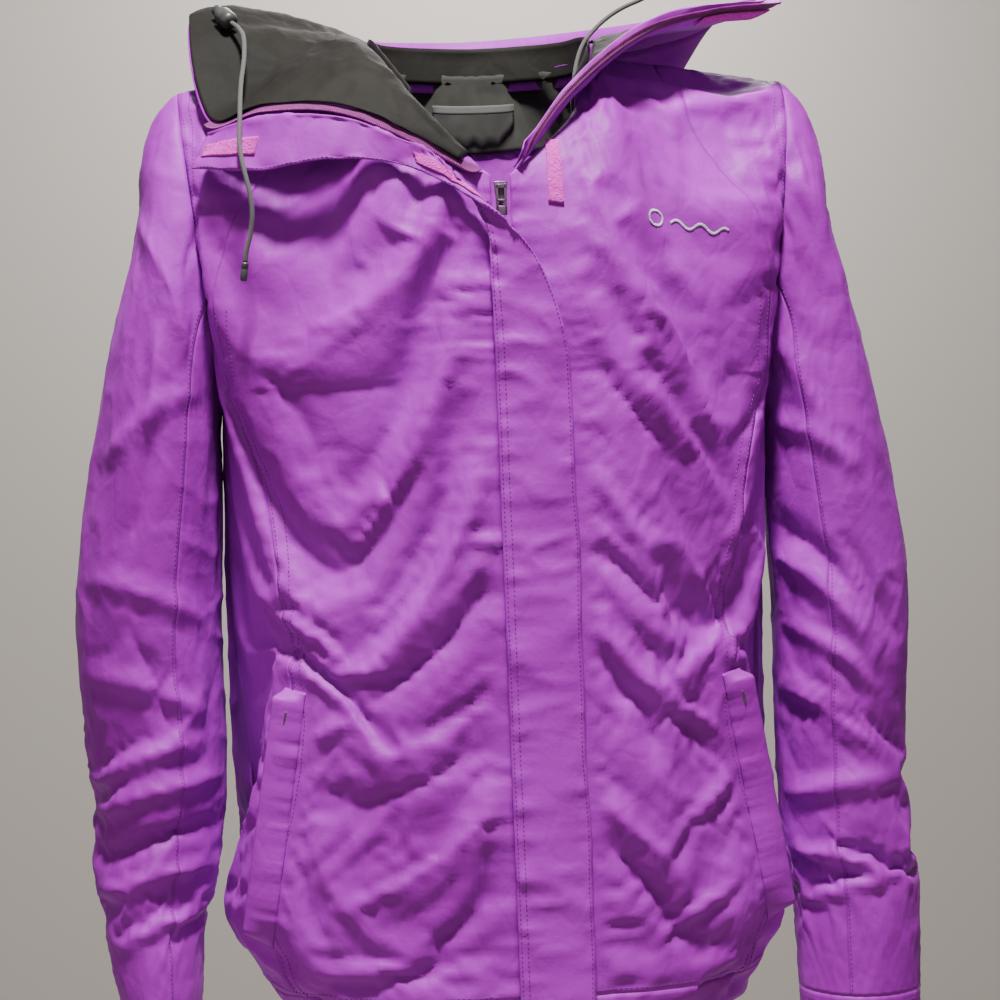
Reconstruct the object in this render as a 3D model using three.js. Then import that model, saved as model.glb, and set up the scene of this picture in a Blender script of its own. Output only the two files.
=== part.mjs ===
// Hooded waterproof shell jacket, hood down and front zip part open, as worn on a body.
// Millimetres. +Z is up, the front faces -Y, and +X is the wearer's left.
// The origin is the middle of the neck, level with the points where the shoulders meet it.
import * as THREE from 'three';

// ---- Body ----
const BODY_LENGTH = 640; // neck level down to the edge of the hem
const CHEST_HALF = 184; // half the body's width at the underarm
const WAIST_HALF = 176;
const HIP_HALF = 192; // where the cloth blouses over the gathered hem
const HEM_HALF = 158;
const CHEST_BACK = 106; // depth behind the side seams
const WAIST_BACK = 96;
const HIP_BACK = 118;
const HEM_BACK = 104;
const FRONT_TOP_DEPTH = 121; // depth in front of the side seams, at the bottom of the open neck
const FRONT_HEM_DEPTH = 129;
const BUST_FULLNESS = 17; // how far the bust stands out past the centre front
const BUST_DROP = 255; // neck level down to the bust
const BUST_APART = 86; // centre front to the middle of the bust
const ARMHOLE_DEPTH = 205; // shoulder tip down to the underarm
const ARMHOLE_HALF_WIDTH = 57; // half the armhole, front to back
const ARMHOLE_LEAN = 12; // how far the shoulder tip stands out past the armhole's middle
const SHOULDER_DROP = 20; // neck level down to the shoulder tip
const NECK_HALF = 78;
const NECK_BACK = 72;
const VEE_DEPTH = 98; // neck level down to the slider, where the open neck starts
const SECTION_POWER = 0.83; // below 1 the body's section is squarer than an ellipse
const CHEST_ROUNDING = 1.5; // above 1 the chest stays full up to the shoulder

// ---- Cloth and sewing ----
const CLOTH = 2.4; // a panel with its seam turnings
const SEWN_GAP = 0.4; // between pieces that are sewn edge to edge
const LINING_GAP = 3; // between the shell and the lining

// ---- Sleeves ----
const SLEEVE_LENGTH = 652; // shoulder tip down to the cuff's edge
const SLEEVE_WIDTH = 94; // across the hanging sleeve, seen from the front
const SLEEVE_DEPTH = 140; // front to back at the upper arm
const CUFF_WIDTH = 64;
const CUFF_DEPTH = 84;
const CUFF_BAND = 30;
const SLEEVE_CLEARANCE = 9; // between the sleeve and the body's side
const CUFF_TAB_LENGTH = 60;
const CUFF_TAB_WIDTH = 24;
const TAB_STANDS = 2; // off the cuff
const TAB_END = 0.999; // share of the sleeve's length where the tab's lower edge lies

// ---- Front zip ----
const CHAIN_WIDTH = 6;
const CHAIN_THICKNESS = 1.8;
const TAPE_WIDTH = 13;
const TAPE_THICKNESS = 0.8;
const PANEL_TO_ZIP = 6; // centre line to the edge of each front panel
const SLIDER_WIDTH = 9;
const SLIDER_LENGTH = 12;
const SLIDER_THICKNESS = 3;
const PULL_LENGTH = 20;
const PULL_WIDTH = 7;
const PULL_THICKNESS = 1.5;
const PULL_PIVOT = 2; // below the slider's upper end
const ZIP_STOP = 26; // hem edge up to the zip's lower end
const DRAFT_WIDTH = 46;
const DRAFT_THICKNESS = 1.2;
const DRAFT_GAP = 3.3; // between the chain and the strip behind it
const TAPE_SINK = 1.2; // the tapes lie behind the chain's middle
const STOP_HEIGHT = 8; // the end box
const STOP_THICKER = 2; // than the chain

// ---- Storm flap ----
const FLAP_WIDTH = 48;
const FLAP_SEAM = 8; // centre line to the flap's seam, on the wearer's right
const FLAP_STAND = 7; // room under the flap for the slider and its pull
const FLAP_TOP = 215; // neck level down to where the flap lies closed
const PATCH_LENGTH = 46; // hook and loop patches
const PATCH_WIDTH = 10;
const PATCH_THICKNESS = 1;
const PATCH_DROP = 40; // the closed flap's top down to the middle of the hook patch

// ---- Pockets ----
const POCKET_LENGTH = 150;
const POCKET_TOP = 428; // neck level down to the pocket zip's upper end
const WELT_WIDTH = 16;
const POCKET_CHAIN = 4;
const POCKET_SLIDER = 10;
const BAG_DEPTH = 130;
const BAG_ROOM = 9; // between the front panel and the pocket bag
const BAG_ABOVE = 10; // the bag's cloth carries on past the zip's upper end
const BAG_BELOW = 20;
const BAG_CLOTH = 1.2;
const POCKET_TAPE = 4; // each side of the pocket's chain
const POCKET_ZIP_THICKNESS = 1.4;
const POCKET_SLIDER_THICKNESS = 2.6;
const WELT_PAST_ZIP = 8; // at each end
const BESIDE = 0.05; // share of the way round, to either side of the pocket's seam

// ---- Hem ----
const HEM_BAND = 20;
const HEM_CORD = 3;
const HEM_PULL_SIZE = [2, 12, 14]; // the webbing tab of the hem cord
const HEM_PULL_RISE = 48; // hem edge up to the tab's middle
const HEM_PULL_STANDS = 4; // off the side seam
const LOCK_DIAMETER = 12;
const LOCK_LENGTH = 17;
const BUTTON_DIAMETER = 8;
const BUTTON_STANDS = 6;
const BUTTON_TRAVEL = 3;

// ---- Hood ----
const POUCH_DROP = 270; // pull of the hanging cloth at the centre back
const HOOD_SPLIT = 0.16; // share of the neckline, each side of the centre back, that the centre panel takes
const HOOD_CORD = 3;
const TIP_DIAMETER = 4.6;
const TIP_LENGTH = 12;
const LOOP_LENGTH = 60; // hanger loop
const LOOP_WIDTH = 7;
const LOOP_STANDS = 8;

// Chest mark
const MARK_PLACE = [0.5, 0.82]; // shares of the way round from the front and up from the hem
const MARK_DIAMETER = 18;
const MARK_THICKNESS = 1;
const MARK_STANDS = 6;

const HEM_Z = -BODY_LENGTH;
const UNDERARM_Z = -(SHOULDER_DROP + ARMHOLE_DEPTH);
const SHOULDER_HALF = CHEST_HALF + 2 * ARMHOLE_LEAN - 1;
const lerp = THREE.MathUtils.lerp;
const clamp = THREE.MathUtils.clamp;
const group = new THREE.Group();

// ---- Helpers for shapes ----

// A smooth track through equally spaced stations, each a list of numbers.
function through(stations) {
  const last = stations.length - 1;
  return (t) => {
    const at = clamp(t, 0, 1) * last;
    const i = Math.min(Math.floor(at), last - 1);
    const f = at - i;
    const [a, b, c, d] = [i - 1, i, i + 1, i + 2].map((k) => stations[clamp(k, 0, last)]);
    return b.map((_, n) => {
      const slope = c[n] - a[n];
      const bend = 2 * a[n] - 5 * b[n] + 4 * c[n] - d[n];
      const twist = 3 * b[n] - a[n] - 3 * c[n] + d[n];
      return 0.5 * (2 * b[n] + slope * f + bend * f * f + twist * f * f * f);
    });
  };
}

const bell = (x, middle, spread) => Math.exp(-(((x - middle) / spread) ** 2));

function mesh(name, geometry, look, parent = group) {
  const [color, roughness, metalness = 0] = look;
  const piece = new THREE.Mesh(geometry, new THREE.MeshStandardMaterial({ color, roughness, metalness }));
  piece.name = name;
  parent.add(piece);
  return piece;
}

// Turns a grid of points and the grid behind it into one closed body.
function closeGrid(front, rear, rings) {
  const [nu, nv] = [front.length - 1, front[0].length - 1];
  const columns = rings ? nu : nu + 1;
  const points = [];
  const index = [];
  const id = (side, i, j) => side * columns * (nv + 1) + (i % columns) * (nv + 1) + j;
  for (const grid of [front, rear]) {
    for (let i = 0; i < columns; i++) grid[i].forEach((p) => points.push(p.x, p.y, p.z));
  }
  const quad = (a, b, c, d) => index.push(a, b, c, a, c, d);
  for (let i = 0; i < nu; i++) {
    for (let j = 0; j < nv; j++) {
      quad(id(0, i, j), id(0, i + 1, j), id(0, i + 1, j + 1), id(0, i, j + 1));
      quad(id(1, i, j), id(1, i, j + 1), id(1, i + 1, j + 1), id(1, i + 1, j));
    }
    quad(id(0, i, 0), id(1, i, 0), id(1, i + 1, 0), id(0, i + 1, 0));
    quad(id(0, i, nv), id(0, i + 1, nv), id(1, i + 1, nv), id(1, i, nv));
  }
  for (let j = 0; !rings && j < nv; j++) {
    quad(id(0, 0, j), id(0, 0, j + 1), id(1, 0, j + 1), id(1, 0, j));
    quad(id(0, nu, j), id(1, nu, j), id(1, nu, j + 1), id(0, nu, j + 1));
  }
  const geometry = new THREE.BufferGeometry();
  geometry.setAttribute('position', new THREE.Float32BufferAttribute(points, 3));
  geometry.setIndex(index);
  geometry.computeVertexNormals();
  return geometry;
}

function signedVolume(geometry) {
  const p = geometry.getAttribute('position');
  const at = (k) => new THREE.Vector3().fromBufferAttribute(p, geometry.index.getX(k));
  let sum = 0;
  for (let k = 0; k < geometry.index.count; k += 3) sum += at(k).dot(at(k + 1).cross(at(k + 2)));
  return sum;
}

// A sheet of cloth: the surface(u, v) is its outer face, and it is as thick as stated.
// The stand moves the whole sheet out along the surface's own direction. Sheets that share a seam
// are given the same list of rows or columns. A mirrored surface runs its u the other way, to face out.
const steps = ([from, to], count) => Array.from({ length: count + 1 }, (_, k) => lerp(from, to, k / count));
const toward = ([from, to], sign) => (sign < 0 ? [to, from] : [from, to]);
function cloth(surface, options) {
  const { u = [0, 1], v = [0, 1], nu = 4, nv = 8, columns, rows } = options;
  const { thick = CLOTH, stand = 0, rings = false } = options;
  const point = (s, t) => new THREE.Vector3(...surface(s, t));
  const [turns, levels] = [columns ?? steps(u, nu), rows ?? steps(v, nv)];
  const [ds, dt] = [turns, levels].map((list) => (list.at(-1) - list[0]) / list.length / 4);
  const [front, rear] = [[], []];
  turns.forEach((s, i) => {
    front.push([]);
    rear.push([]);
    for (const t of levels) {
      const along = point(s + ds, t).sub(point(s - ds, t));
      const across = point(s, t + dt).sub(point(s, t - dt));
      const out = along.cross(across).normalize();
      front[i].push(point(s, t).addScaledVector(out, stand));
      rear[i].push(point(s, t).addScaledVector(out, stand - thick));
    }
  });
  const geometry = closeGrid(front, rear, rings);
  return signedVolume(geometry) > 0 ? geometry : closeGrid(rear, front, rings);
}

// A tube along a list of points, with a step every two to three diameters.
function tube(points, diameter) {
  const path = new THREE.CatmullRomCurve3(points.map((p) => new THREE.Vector3(...p)));
  const circle = new THREE.Shape().absarc(0, 0, diameter / 2, 0, 2 * Math.PI);
  const steps = Math.min(80, Math.ceil(path.getLength() / (2.5 * diameter)));
  const extrudePath = path;
  return new THREE.ExtrudeGeometry(circle, { extrudePath, steps, bevelEnabled: false, curveSegments: 4 });
}

// ---- Looks ----
const SHELL = ['#a843c4', 0.5];
const SHELL_DARK = ['#7a2f90', 0.55];
const LINING = ['#34332f', 0.6];
const MESH = ['#4c4d46', 0.8];
const TAPE = ['#a8208c', 0.6];
const TEETH = ['#8c1478', 0.4];
const HOOK = ['#e03cc0', 0.8];
const SLIDER = ['#7c6a7c', 0.35];
const CORD = ['#5a5b5c', 0.8];
const PLASTIC = ['#4a4a4c', 0.45];
const PULL = ['#f048c0', 0.6];
const THREAD = ['#d8d4e0', 0.5];

// ---- Surfaces of the body ----

// Half width, depth behind, from the underarm down to the hem.
const bodyProfile = through([
  [CHEST_HALF, CHEST_BACK],
  [lerp(WAIST_HALF, CHEST_HALF, 0.25), lerp(WAIST_BACK, CHEST_BACK, 0.35)],
  [WAIST_HALF, WAIST_BACK],
  [lerp(WAIST_HALF, HIP_HALF, 0.12), lerp(WAIST_BACK, HIP_BACK, 0.3)],
  [lerp(WAIST_HALF, HIP_HALF, 0.6), lerp(WAIST_BACK, HIP_BACK, 0.8)],
  [HIP_HALF, HIP_BACK],
  [HEM_HALF, HEM_BACK],
]);
const profileAt = (z) => bodyProfile((UNDERARM_Z - z) / (UNDERARM_Z - HEM_Z));
const frontDepth = (z) => lerp(FRONT_TOP_DEPTH, FRONT_HEM_DEPTH, (z + VEE_DEPTH) / (HEM_Z + VEE_DEPTH));
const bust = (x, z) =>
  BUST_FULLNESS * bell(Math.abs(x), BUST_APART, 38) * bell(z, -BUST_DROP, z < -BUST_DROP ? 190 : 85);

// One side of the body at a height; turn runs from the middle (0) to the side seam (1).
function section(turn, z, behind) {
  const [half, back] = profileAt(z);
  const angle = (turn * Math.PI) / 2;
  const x = half * Math.max(0, Math.sin(angle)) ** SECTION_POWER;
  const y = Math.max(0, Math.cos(angle)) ** SECTION_POWER;
  return behind ? [x, back * y, z] : [x, -frontDepth(z) * y - bust(x, z), z];
}

// The armhole ring; angle 0 is the shoulder tip and 90 degrees is its foremost point.
function armhole(angle) {
  const lean = Math.cos(angle);
  return [
    SHOULDER_HALF - ARMHOLE_LEAN + ARMHOLE_LEAN * lean,
    -ARMHOLE_HALF_WIDTH * Math.sin(angle),
    -SHOULDER_DROP - (ARMHOLE_DEPTH * (1 - lean)) / 2,
  ];
}

// The neckline from the middle (0) to the neck point, and on along the shoulder to its tip (1).
const NECK_SHARE = 0.5;
const frontNeck = through([
  [0, -FRONT_TOP_DEPTH, -VEE_DEPTH],
  [0.5 * NECK_HALF, -0.82 * FRONT_TOP_DEPTH, -0.66 * VEE_DEPTH],
  [0.85 * NECK_HALF, -0.5 * FRONT_TOP_DEPTH, -0.27 * VEE_DEPTH],
  [NECK_HALF, 0, 0],
]);
const backNeck = through([
  [0, NECK_BACK, 5],
  [0.5 * NECK_HALF, 0.92 * NECK_BACK, 5],
  [0.88 * NECK_HALF, 0.55 * NECK_BACK, 4],
  [NECK_HALF, 0, 0],
]);
function topEdge(turn, behind) {
  if (turn < NECK_SHARE) return (behind ? backNeck : frontNeck)(turn / NECK_SHARE);
  const along = (turn - NECK_SHARE) / (1 - NECK_SHARE);
  return [lerp(NECK_HALF, SHOULDER_HALF, along), 0, lerp(0, -SHOULDER_DROP, along)];
}

// One quarter of the body: turn as above, rise from the hem (0) past the underarm to the top (1).
const UNDERARM_RISE = 0.64;
function quarter(turn, rise, behind) {
  if (rise <= UNDERARM_RISE) return section(turn, lerp(HEM_Z, UNDERARM_Z, rise / UNDERARM_RISE), behind);
  const up = Math.min(1, (rise - UNDERARM_RISE) / (1 - UNDERARM_RISE));
  const foot = section(turn, UNDERARM_Z, behind);
  const head = topEdge(turn, behind);
  const middle = [section(0, UNDERARM_Z, behind), topEdge(0, behind)];
  const side = armhole(behind ? Math.PI * (1 + up) : Math.PI * (1 - up));
  const corners = [armhole(Math.PI), armhole(0)];
  // The depth stays full up the chest and rounds over only near the shoulder.
  const rounded = 1 - (1 - up ** CHEST_ROUNDING) ** (1 / CHEST_ROUNDING);
  const point = foot.map((_, n) => {
    const share = n === 1 ? rounded : up;
    const upDown = lerp(foot[n], head[n], share);
    const inOut = lerp(lerp(middle[0][n], middle[1][n], up), side[n], turn);
    const [low, high] = [0, 1].map((end) => lerp(middle[end][n], corners[end][n], turn));
    return upDown + inOut - lerp(low, high, share);
  });
  if (!behind) point[1] -= (bust(point[0], point[2]) - bust(foot[0], UNDERARM_Z) * (1 - up)) * (1 - up);
  return point;
}
const body = (sign, turn, rise, behind = false) => {
  const [x, y, z] = quarter(turn, rise, behind);
  return [sign * x, y, z];
};

// The curved seam from the armhole down through the pocket to the hem, as a share of the turn.
const SEAM_TOP_RISE = 0.76;
const seamTrack = through([[0.64], [0.665], [0.6], [0.555], [0.58], [0.6], [0.66], [0.8], [1]]);
const ARMHOLE_TURN = 0.975; // where the body's panels stop beside the sleeve
const seamTurn = (rise) => Math.min(ARMHOLE_TURN, seamTrack(rise / SEAM_TOP_RISE)[0]);

// The height share at a given z on the lower body.
const riseAt = (z) => (UNDERARM_RISE * (z - HEM_Z)) / (UNDERARM_Z - HEM_Z);
const HEM_RISE = riseAt(HEM_Z + HEM_BAND);
const RISE_GAP = (2 * SEWN_GAP) / BODY_LENGTH;
const TURN_GAP = SEWN_GAP / (2 * CHEST_HALF);
const sideTurn = (rise) => (rise > UNDERARM_RISE ? ARMHOLE_TURN : 1 - 2 * TURN_GAP);
const NECK_STOP = 0.985;
const zipTurn = (PANEL_TO_ZIP / CHEST_HALF) ** (1 / SECTION_POWER) / (Math.PI / 2);

const seamRows = steps([HEM_RISE + RISE_GAP, SEAM_TOP_RISE - 0.04], 9);
const panelRows = [...seamRows, ...steps([SEAM_TOP_RISE, NECK_STOP], 4)];
const wearerSides = [['right', -1], ['left', 1]];
for (const [side, sign] of wearerSides) {
  const panel = (u, v) => {
    const [x, y, z] = body(sign, lerp(0, seamTurn(v) - 3 * TURN_GAP, u), v);
    return [x + sign * PANEL_TO_ZIP * (1 - u), y, z];
  };
  const u = toward([0, 1], sign);
  mesh(`front_panel_${side}`, cloth(panel, { u, nu: 6, rows: panelRows }), SHELL);
  const sidePanel = (u, v) => body(sign, lerp(seamTurn(v) + 3 * TURN_GAP, sideTurn(v), u), v);
  mesh(`side_panel_${side}`, cloth(sidePanel, { u, nu: 3, rows: seamRows }), SHELL);
}
const back = (u, v) => body(u < 0 ? -1 : 1, Math.abs(u) * sideTurn(v), v, true);
mesh('back_panel', cloth(back, { u: [1, -1], nu: 12, rows: panelRows }), SHELL);

// ---- Sleeves ----

// Outer and inner edges of the hanging sleeve, from the shoulder (0) to the cuff (1), as x and z;
// widths below the underarm follow the body so that the sleeve stays clear of it.
const cuffZ = -SHOULDER_DROP - SLEEVE_LENGTH;
const sleeveZ = (share) => lerp(UNDERARM_Z, cuffZ, share);
const bodySide = (share) => Math.max(CHEST_HALF, HIP_HALF * Math.min(1, share * 2));
const innerX = (share, out) => bodySide(share) + SLEEVE_CLEARANCE + out;
const innerEdge = through([
  [armhole(Math.PI)[0] + 2, UNDERARM_Z],
  [CHEST_HALF + SLEEVE_CLEARANCE * 0.7, sleeveZ(0.06)],
  [innerX(0, 0), sleeveZ(0.2)],
  [innerX(0.2, 0), sleeveZ(0.38)],
  [innerX(0.56, 0), sleeveZ(0.56)],
  [innerX(0.75, 2), sleeveZ(0.75)],
  [innerX(1, 8), sleeveZ(1)],
]);
const outerEdge = through([
  [SHOULDER_HALF, -SHOULDER_DROP],
  [SHOULDER_HALF + 0.27 * SLEEVE_WIDTH, lerp(-SHOULDER_DROP, UNDERARM_Z, 0.28)],
  [CHEST_HALF + 0.84 * SLEEVE_WIDTH, lerp(-SHOULDER_DROP, UNDERARM_Z, 0.85)],
  [innerX(0.2, 0.95 * SLEEVE_WIDTH), sleeveZ(0.28)],
  [innerX(0.5, 0.9 * SLEEVE_WIDTH), sleeveZ(0.52)],
  [innerX(0.75, 0.88 * SLEEVE_WIDTH), sleeveZ(0.76)],
  [innerX(1, 8 + CUFF_WIDTH), sleeveZ(1)],
]);
const sleeveHalfDepth = through([
  [ARMHOLE_HALF_WIDTH], [0.46 * SLEEVE_DEPTH], [SLEEVE_DEPTH / 2], [0.48 * SLEEVE_DEPTH],
  [0.42 * SLEEVE_DEPTH], [0.36 * SLEEVE_DEPTH], [CUFF_DEPTH / 2],
]);
const sleeveSway = through([[0], [4], [9], [13], [12], [4], [-6]]);

function sleeve(sign, angle, along) {
  const [inner, outer] = [innerEdge(along), outerEdge(along)];
  const lean = Math.cos(angle);
  const [x, z] = [0, 1].map((n) => (outer[n] + inner[n]) / 2 + (lean * (outer[n] - inner[n])) / 2);
  return [sign * x, sleeveSway(along)[0] - sleeveHalfDepth(along)[0] * Math.sin(angle), z];
}

const CAP_GAP = 0.022; // share of the sleeve left at the armhole seam
const sharePerMm = 1 / (6 * (sleeveZ(0.75) - cuffZ));
const BAND_SHARE = 1 - CUFF_BAND * sharePerMm;
const UNDER_HALF = Math.PI * 0.36; // half of the narrow under sleeve
for (const [side, sign] of wearerSides) {
  const surface = (u, v) => sleeve(sign, u, v);
  const seam = Math.PI - UNDER_HALF;
  const v = [CAP_GAP, BAND_SHARE - 0.002];
  mesh(`sleeve_upper_${side}`, cloth(surface, { u: toward([-seam, seam], sign), v, nu: 10, nv: 13 }), SHELL);
  const under = [seam + 0.01, 2 * Math.PI - seam - 0.01];
  mesh(`sleeve_under_${side}`, cloth(surface, { u: toward(under, sign), v, nu: 6, nv: 12 }), SHELL);
  const cuff = { u: toward([0, 2 * Math.PI], sign), v: [BAND_SHARE, 1], nu: 16, nv: 1, rings: true };
  mesh(`cuff_${side}`, cloth(surface, cuff), SHELL_DARK);
  const tabMiddle = (Math.PI / 180) * -30;
  const tabHalf = CUFF_TAB_LENGTH / (CUFF_WIDTH + CUFF_DEPTH);
  const tabShare = CUFF_TAB_WIDTH * sharePerMm;
  const tabRange = toward([tabMiddle - tabHalf, tabMiddle + tabHalf], sign);
  const tab = { u: tabRange, v: [TAB_END - tabShare, TAB_END], nu: 5, nv: 1, stand: CLOTH + TAB_STANDS };
  mesh(`cuff_tab_${side}`, cloth(surface, tab), SHELL_DARK);
}

// ---- Collar and hood ----

// Stations from the slider, round the wearer's right, over the centre back, round the left and back.
// Each is: neckline point, outer edge point, and how far the cloth heads off from each.
const drop = POUCH_DROP;
const stations = [
  [[-7, -116, -99], [-9, -121, -97], [0, 0, 0], [0, 0, 0]],
  [[-38, -101, -64], [-50, -114, -72], [-3, -5, 7], [4, 0, 5]],
  [[-64, -66, -24], [-98, -102, -50], [-8, -10, 18], [12, 8, 14]],
  [[-78, -20, 4], [-146, -86, -46], [-20, -10, 22], [20, 14, 20]],
  [[-80, 10, 10], [-184, -60, -50], [-30, -6, 14], [30, 14, 16]],
  [[-77, 32, 14], [-198, -10, 4], [-30, 0, 6], [28, 5, 2]],
  [[-66, 52, 15], [-186, 44, 30], [-26, 10, -6], [10, 6, -24]],
  [[-40, 68, 16], [-118, 132, 46], [-20, 45, -0.72 * drop], [-10, 34, -0.8 * drop]],
  [[0, 76, 16], [0, 180, 50], [0, 48, -drop], [0, 38, -1.1 * drop]],
  [[40, 68, 16], [118, 132, 50], [20, 45, -0.72 * drop], [10, 34, -0.8 * drop]],
  [[66, 52, 15], [188, 50, 46], [26, 10, -6], [-10, 6, -24]],
  [[77, 32, 14], [208, 0, 38], [32, 0, 2], [-20, 2, -16]],
  [[80, 10, 10], [198, -42, 24], [30, -8, 6], [-26, 0, -18]],
  [[78, -20, 2], [148, -64, 14], [18, -10, 6], [-12, -2, -14]],
  [[66, -60, -22], [97, -86, -5], [8, -10, 4], [-3, -4, -9]],
  [[38, -101, -62], [46, -109, -47], [2, -5, 2], [-1, -2, -4]],
  [[7, -116, -99], [9, -121, -97], [0, 0, 0], [0, 0, 0]],
];
const tracks = [0, 1, 2, 3].map((n) => through(stations.map((station) => station[n])));
function hood(round, out) {
  const [neck, edge, leave, arrive] = tracks.map((track) => track(round));
  const w = [(1 - out) ** 3, 3 * out * (1 - out) ** 2, 3 * out ** 2 * (1 - out), out ** 3];
  return neck.map((p, n) => w[0] * p + w[1] * (p + leave[n]) + w[2] * (edge[n] + arrive[n]) + w[3] * edge[n]);
}
const COLLAR_END = 0.375; // where the collar meets the hood's side, as a share of the way round
const HOOD_GAP = 0.008;
const HOOD_WEDGE = 0.022; // the gap beside the collar opens outwards, so that the hood can lift
// The hood's own pieces start behind the wedge, and share the rest of the way round.
function hoodBehind(round, out) {
  const [start, from] = [COLLAR_END + HOOD_GAP, COLLAR_END + HOOD_GAP + HOOD_WEDGE * out];
  return hood(lerp(from, 1 - from, (round - start) / (1 - 2 * start)), out);
}
const HOOD_CLOTH = 1.6;
const HOOD_RANGE = [0.06, 0.98]; // how far out from the neckline the turned-back cloth reaches
const COLLAR_START = 0.04; // share of the way round, just behind the slider
const onSide = ([from, to], sign) => (sign < 0 ? [from, to] : [1 - to, 1 - from]);

const lining = { thick: 1, stand: LINING_GAP + 1 };
for (const [side, sign] of wearerSides) {
  const shell = { v: HOOD_RANGE, thick: HOOD_CLOTH };
  const whole = { u: onSide([COLLAR_START, COLLAR_END], sign), nu: 8, nv: 4 };
  mesh(`collar_${side}`, cloth(hood, { ...shell, ...whole }), SHELL);
  mesh(`collar_lining_${side}`, cloth(hood, { ...shell, ...whole, ...lining }), LINING);
  const sideRange = [COLLAR_END + HOOD_GAP, 0.5 - HOOD_SPLIT / 2 - HOOD_GAP / 4];
  const columns = steps(onSide(sideRange, sign), 4);
  mesh(`hood_side_${side}`, cloth(hoodBehind, { ...shell, columns, nv: 10 }), SHELL);
}
const middle = steps([0.5 - HOOD_SPLIT / 2, 0.5 + HOOD_SPLIT / 2], 6);
const hoodShell = { v: HOOD_RANGE, nv: 10, thick: HOOD_CLOTH };
mesh('hood_centre', cloth(hoodBehind, { ...hoodShell, columns: middle }), SHELL);
const sideColumns = steps([COLLAR_END + HOOD_GAP, middle[0]], 4).slice(0, -1);
const inside = [...sideColumns, ...middle, ...sideColumns.map((turn) => 1 - turn).reverse()];
mesh('hood_lining', cloth(hoodBehind, { ...hoodShell, ...lining, columns: inside }), LINING);

// The mesh facing lies inside the back neck, and the hanger loop is sewn to it.
const facingGap = CLOTH + 1;
const facingRange = { u: [1 / 3, -1 / 3], nu: 4, rows: panelRows.slice(-2) };
mesh('neck_facing', cloth(back, { ...facingRange, thick: 1, stand: -facingGap }), MESH);
const loopTop = back(0, 0.96);
const loopSide = LOOP_LENGTH / 2;
const loopBack = loopTop[1] - facingGap - 1 - SEWN_GAP - LOOP_WIDTH / 4;
const loopShape = [[-1, 0], [-0.9, 0.7], [-0.5, 1], [0, 1.1], [0.5, 1], [0.9, 0.7], [1, 0]];
const loopPath = loopShape.map(([across, out]) => [
  across * loopSide, loopBack - 4 - out * LOOP_STANDS, loopTop[2] - 2,
]);
mesh('hanger_loop', tube(loopPath, LOOP_WIDTH / 2), CORD);

// ---- Front zip ----

// The zip runs straight down the middle; this is its outer face, level with the panels' outer face.
const zipTopZ = -VEE_DEPTH - 4;
const zipFootZ = HEM_Z + ZIP_STOP;
const zipDirection = new THREE.Vector3(0, -frontDepth(zipFootZ) + frontDepth(zipTopZ), zipFootZ - zipTopZ);
const zipLength = zipDirection.length();
const zipLine = new THREE.Group();
zipLine.position.set(0, -frontDepth(zipTopZ), zipTopZ);
zipLine.rotation.x = Math.atan2(zipDirection.y, -zipDirection.z);
group.add(zipLine);

// A block in the zip's frame: x across, y outwards from the chain's middle, z up from the slider.
const CHAIN_SINK = CLOTH + SEWN_GAP + CHAIN_THICKNESS / 2;
function zipBlock(name, [width, thickness, height], [x, out, z], look) {
  const piece = mesh(name, new THREE.BoxGeometry(width, thickness, height), look, zipLine);
  piece.position.set(x, CHAIN_SINK - out, z);
  return piece;
}
const CLOSED_START = 36; // the tapes' first stretch below the slider turns back with the collar
const closedLength = zipLength - CLOSED_START;
const closedMiddle = -CLOSED_START - closedLength / 2;
const chainLength = zipLength - SEWN_GAP;
zipBlock('zip_chain', [CHAIN_WIDTH, CHAIN_THICKNESS, chainLength], [0, 0, -chainLength / 2], TEETH);
const endBox = [SLIDER_WIDTH, CHAIN_THICKNESS + STOP_THICKER, STOP_HEIGHT];
zipBlock('zip_end_box', endBox, [0, 0, -chainLength - SEWN_GAP - STOP_HEIGHT / 2], SLIDER);
for (const [side, sign] of wearerSides) {
  const x = sign * (CHAIN_WIDTH / 2 + SEWN_GAP + TAPE_WIDTH / 2);
  const tape = [TAPE_WIDTH, TAPE_THICKNESS, closedLength];
  zipBlock(`zip_tape_${side}`, tape, [x, -TAPE_SINK, closedMiddle], TAPE);
}
const draft = [DRAFT_WIDTH, DRAFT_THICKNESS, closedLength];
const draftSink = (CHAIN_THICKNESS + DRAFT_THICKNESS) / 2 + DRAFT_GAP;
zipBlock('draft_flap', draft, [0, -draftSink, closedMiddle], SHELL_DARK);
const sliderOut = CHAIN_THICKNESS / 2 + SEWN_GAP + SLIDER_THICKNESS / 2;
const slider = [SLIDER_WIDTH, SLIDER_THICKNESS, SLIDER_LENGTH];
zipBlock('zip_slider', slider, [0, sliderOut, -SLIDER_LENGTH / 2], SLIDER);
const pullOut = sliderOut + SLIDER_THICKNESS / 2 + SEWN_GAP + PULL_THICKNESS / 2;
const pull = [PULL_WIDTH, PULL_THICKNESS, PULL_LENGTH];
zipBlock('zip_pull', pull, [0, pullOut, -PULL_PIVOT - PULL_LENGTH / 2], SLIDER);

// The open teeth follow the outer edges of the turned-back collar.
const TEETH_RANGE = [0.012, 0.25];
for (const [side, sign] of wearerSides) {
  const path = steps(onSide(TEETH_RANGE, sign), 16).map((u) => {
    const [edge, inward] = [hood(u, 1), hood(u, 0.9)].map((p) => new THREE.Vector3(...p));
    return edge.add(edge.clone().sub(inward).setLength(CHAIN_WIDTH / 2 + 2)).toArray();
  });
  mesh(`zip_teeth_${side}`, tube(path, CHAIN_WIDTH / 2), TEETH);
}

// ---- Storm flap ----

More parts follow.
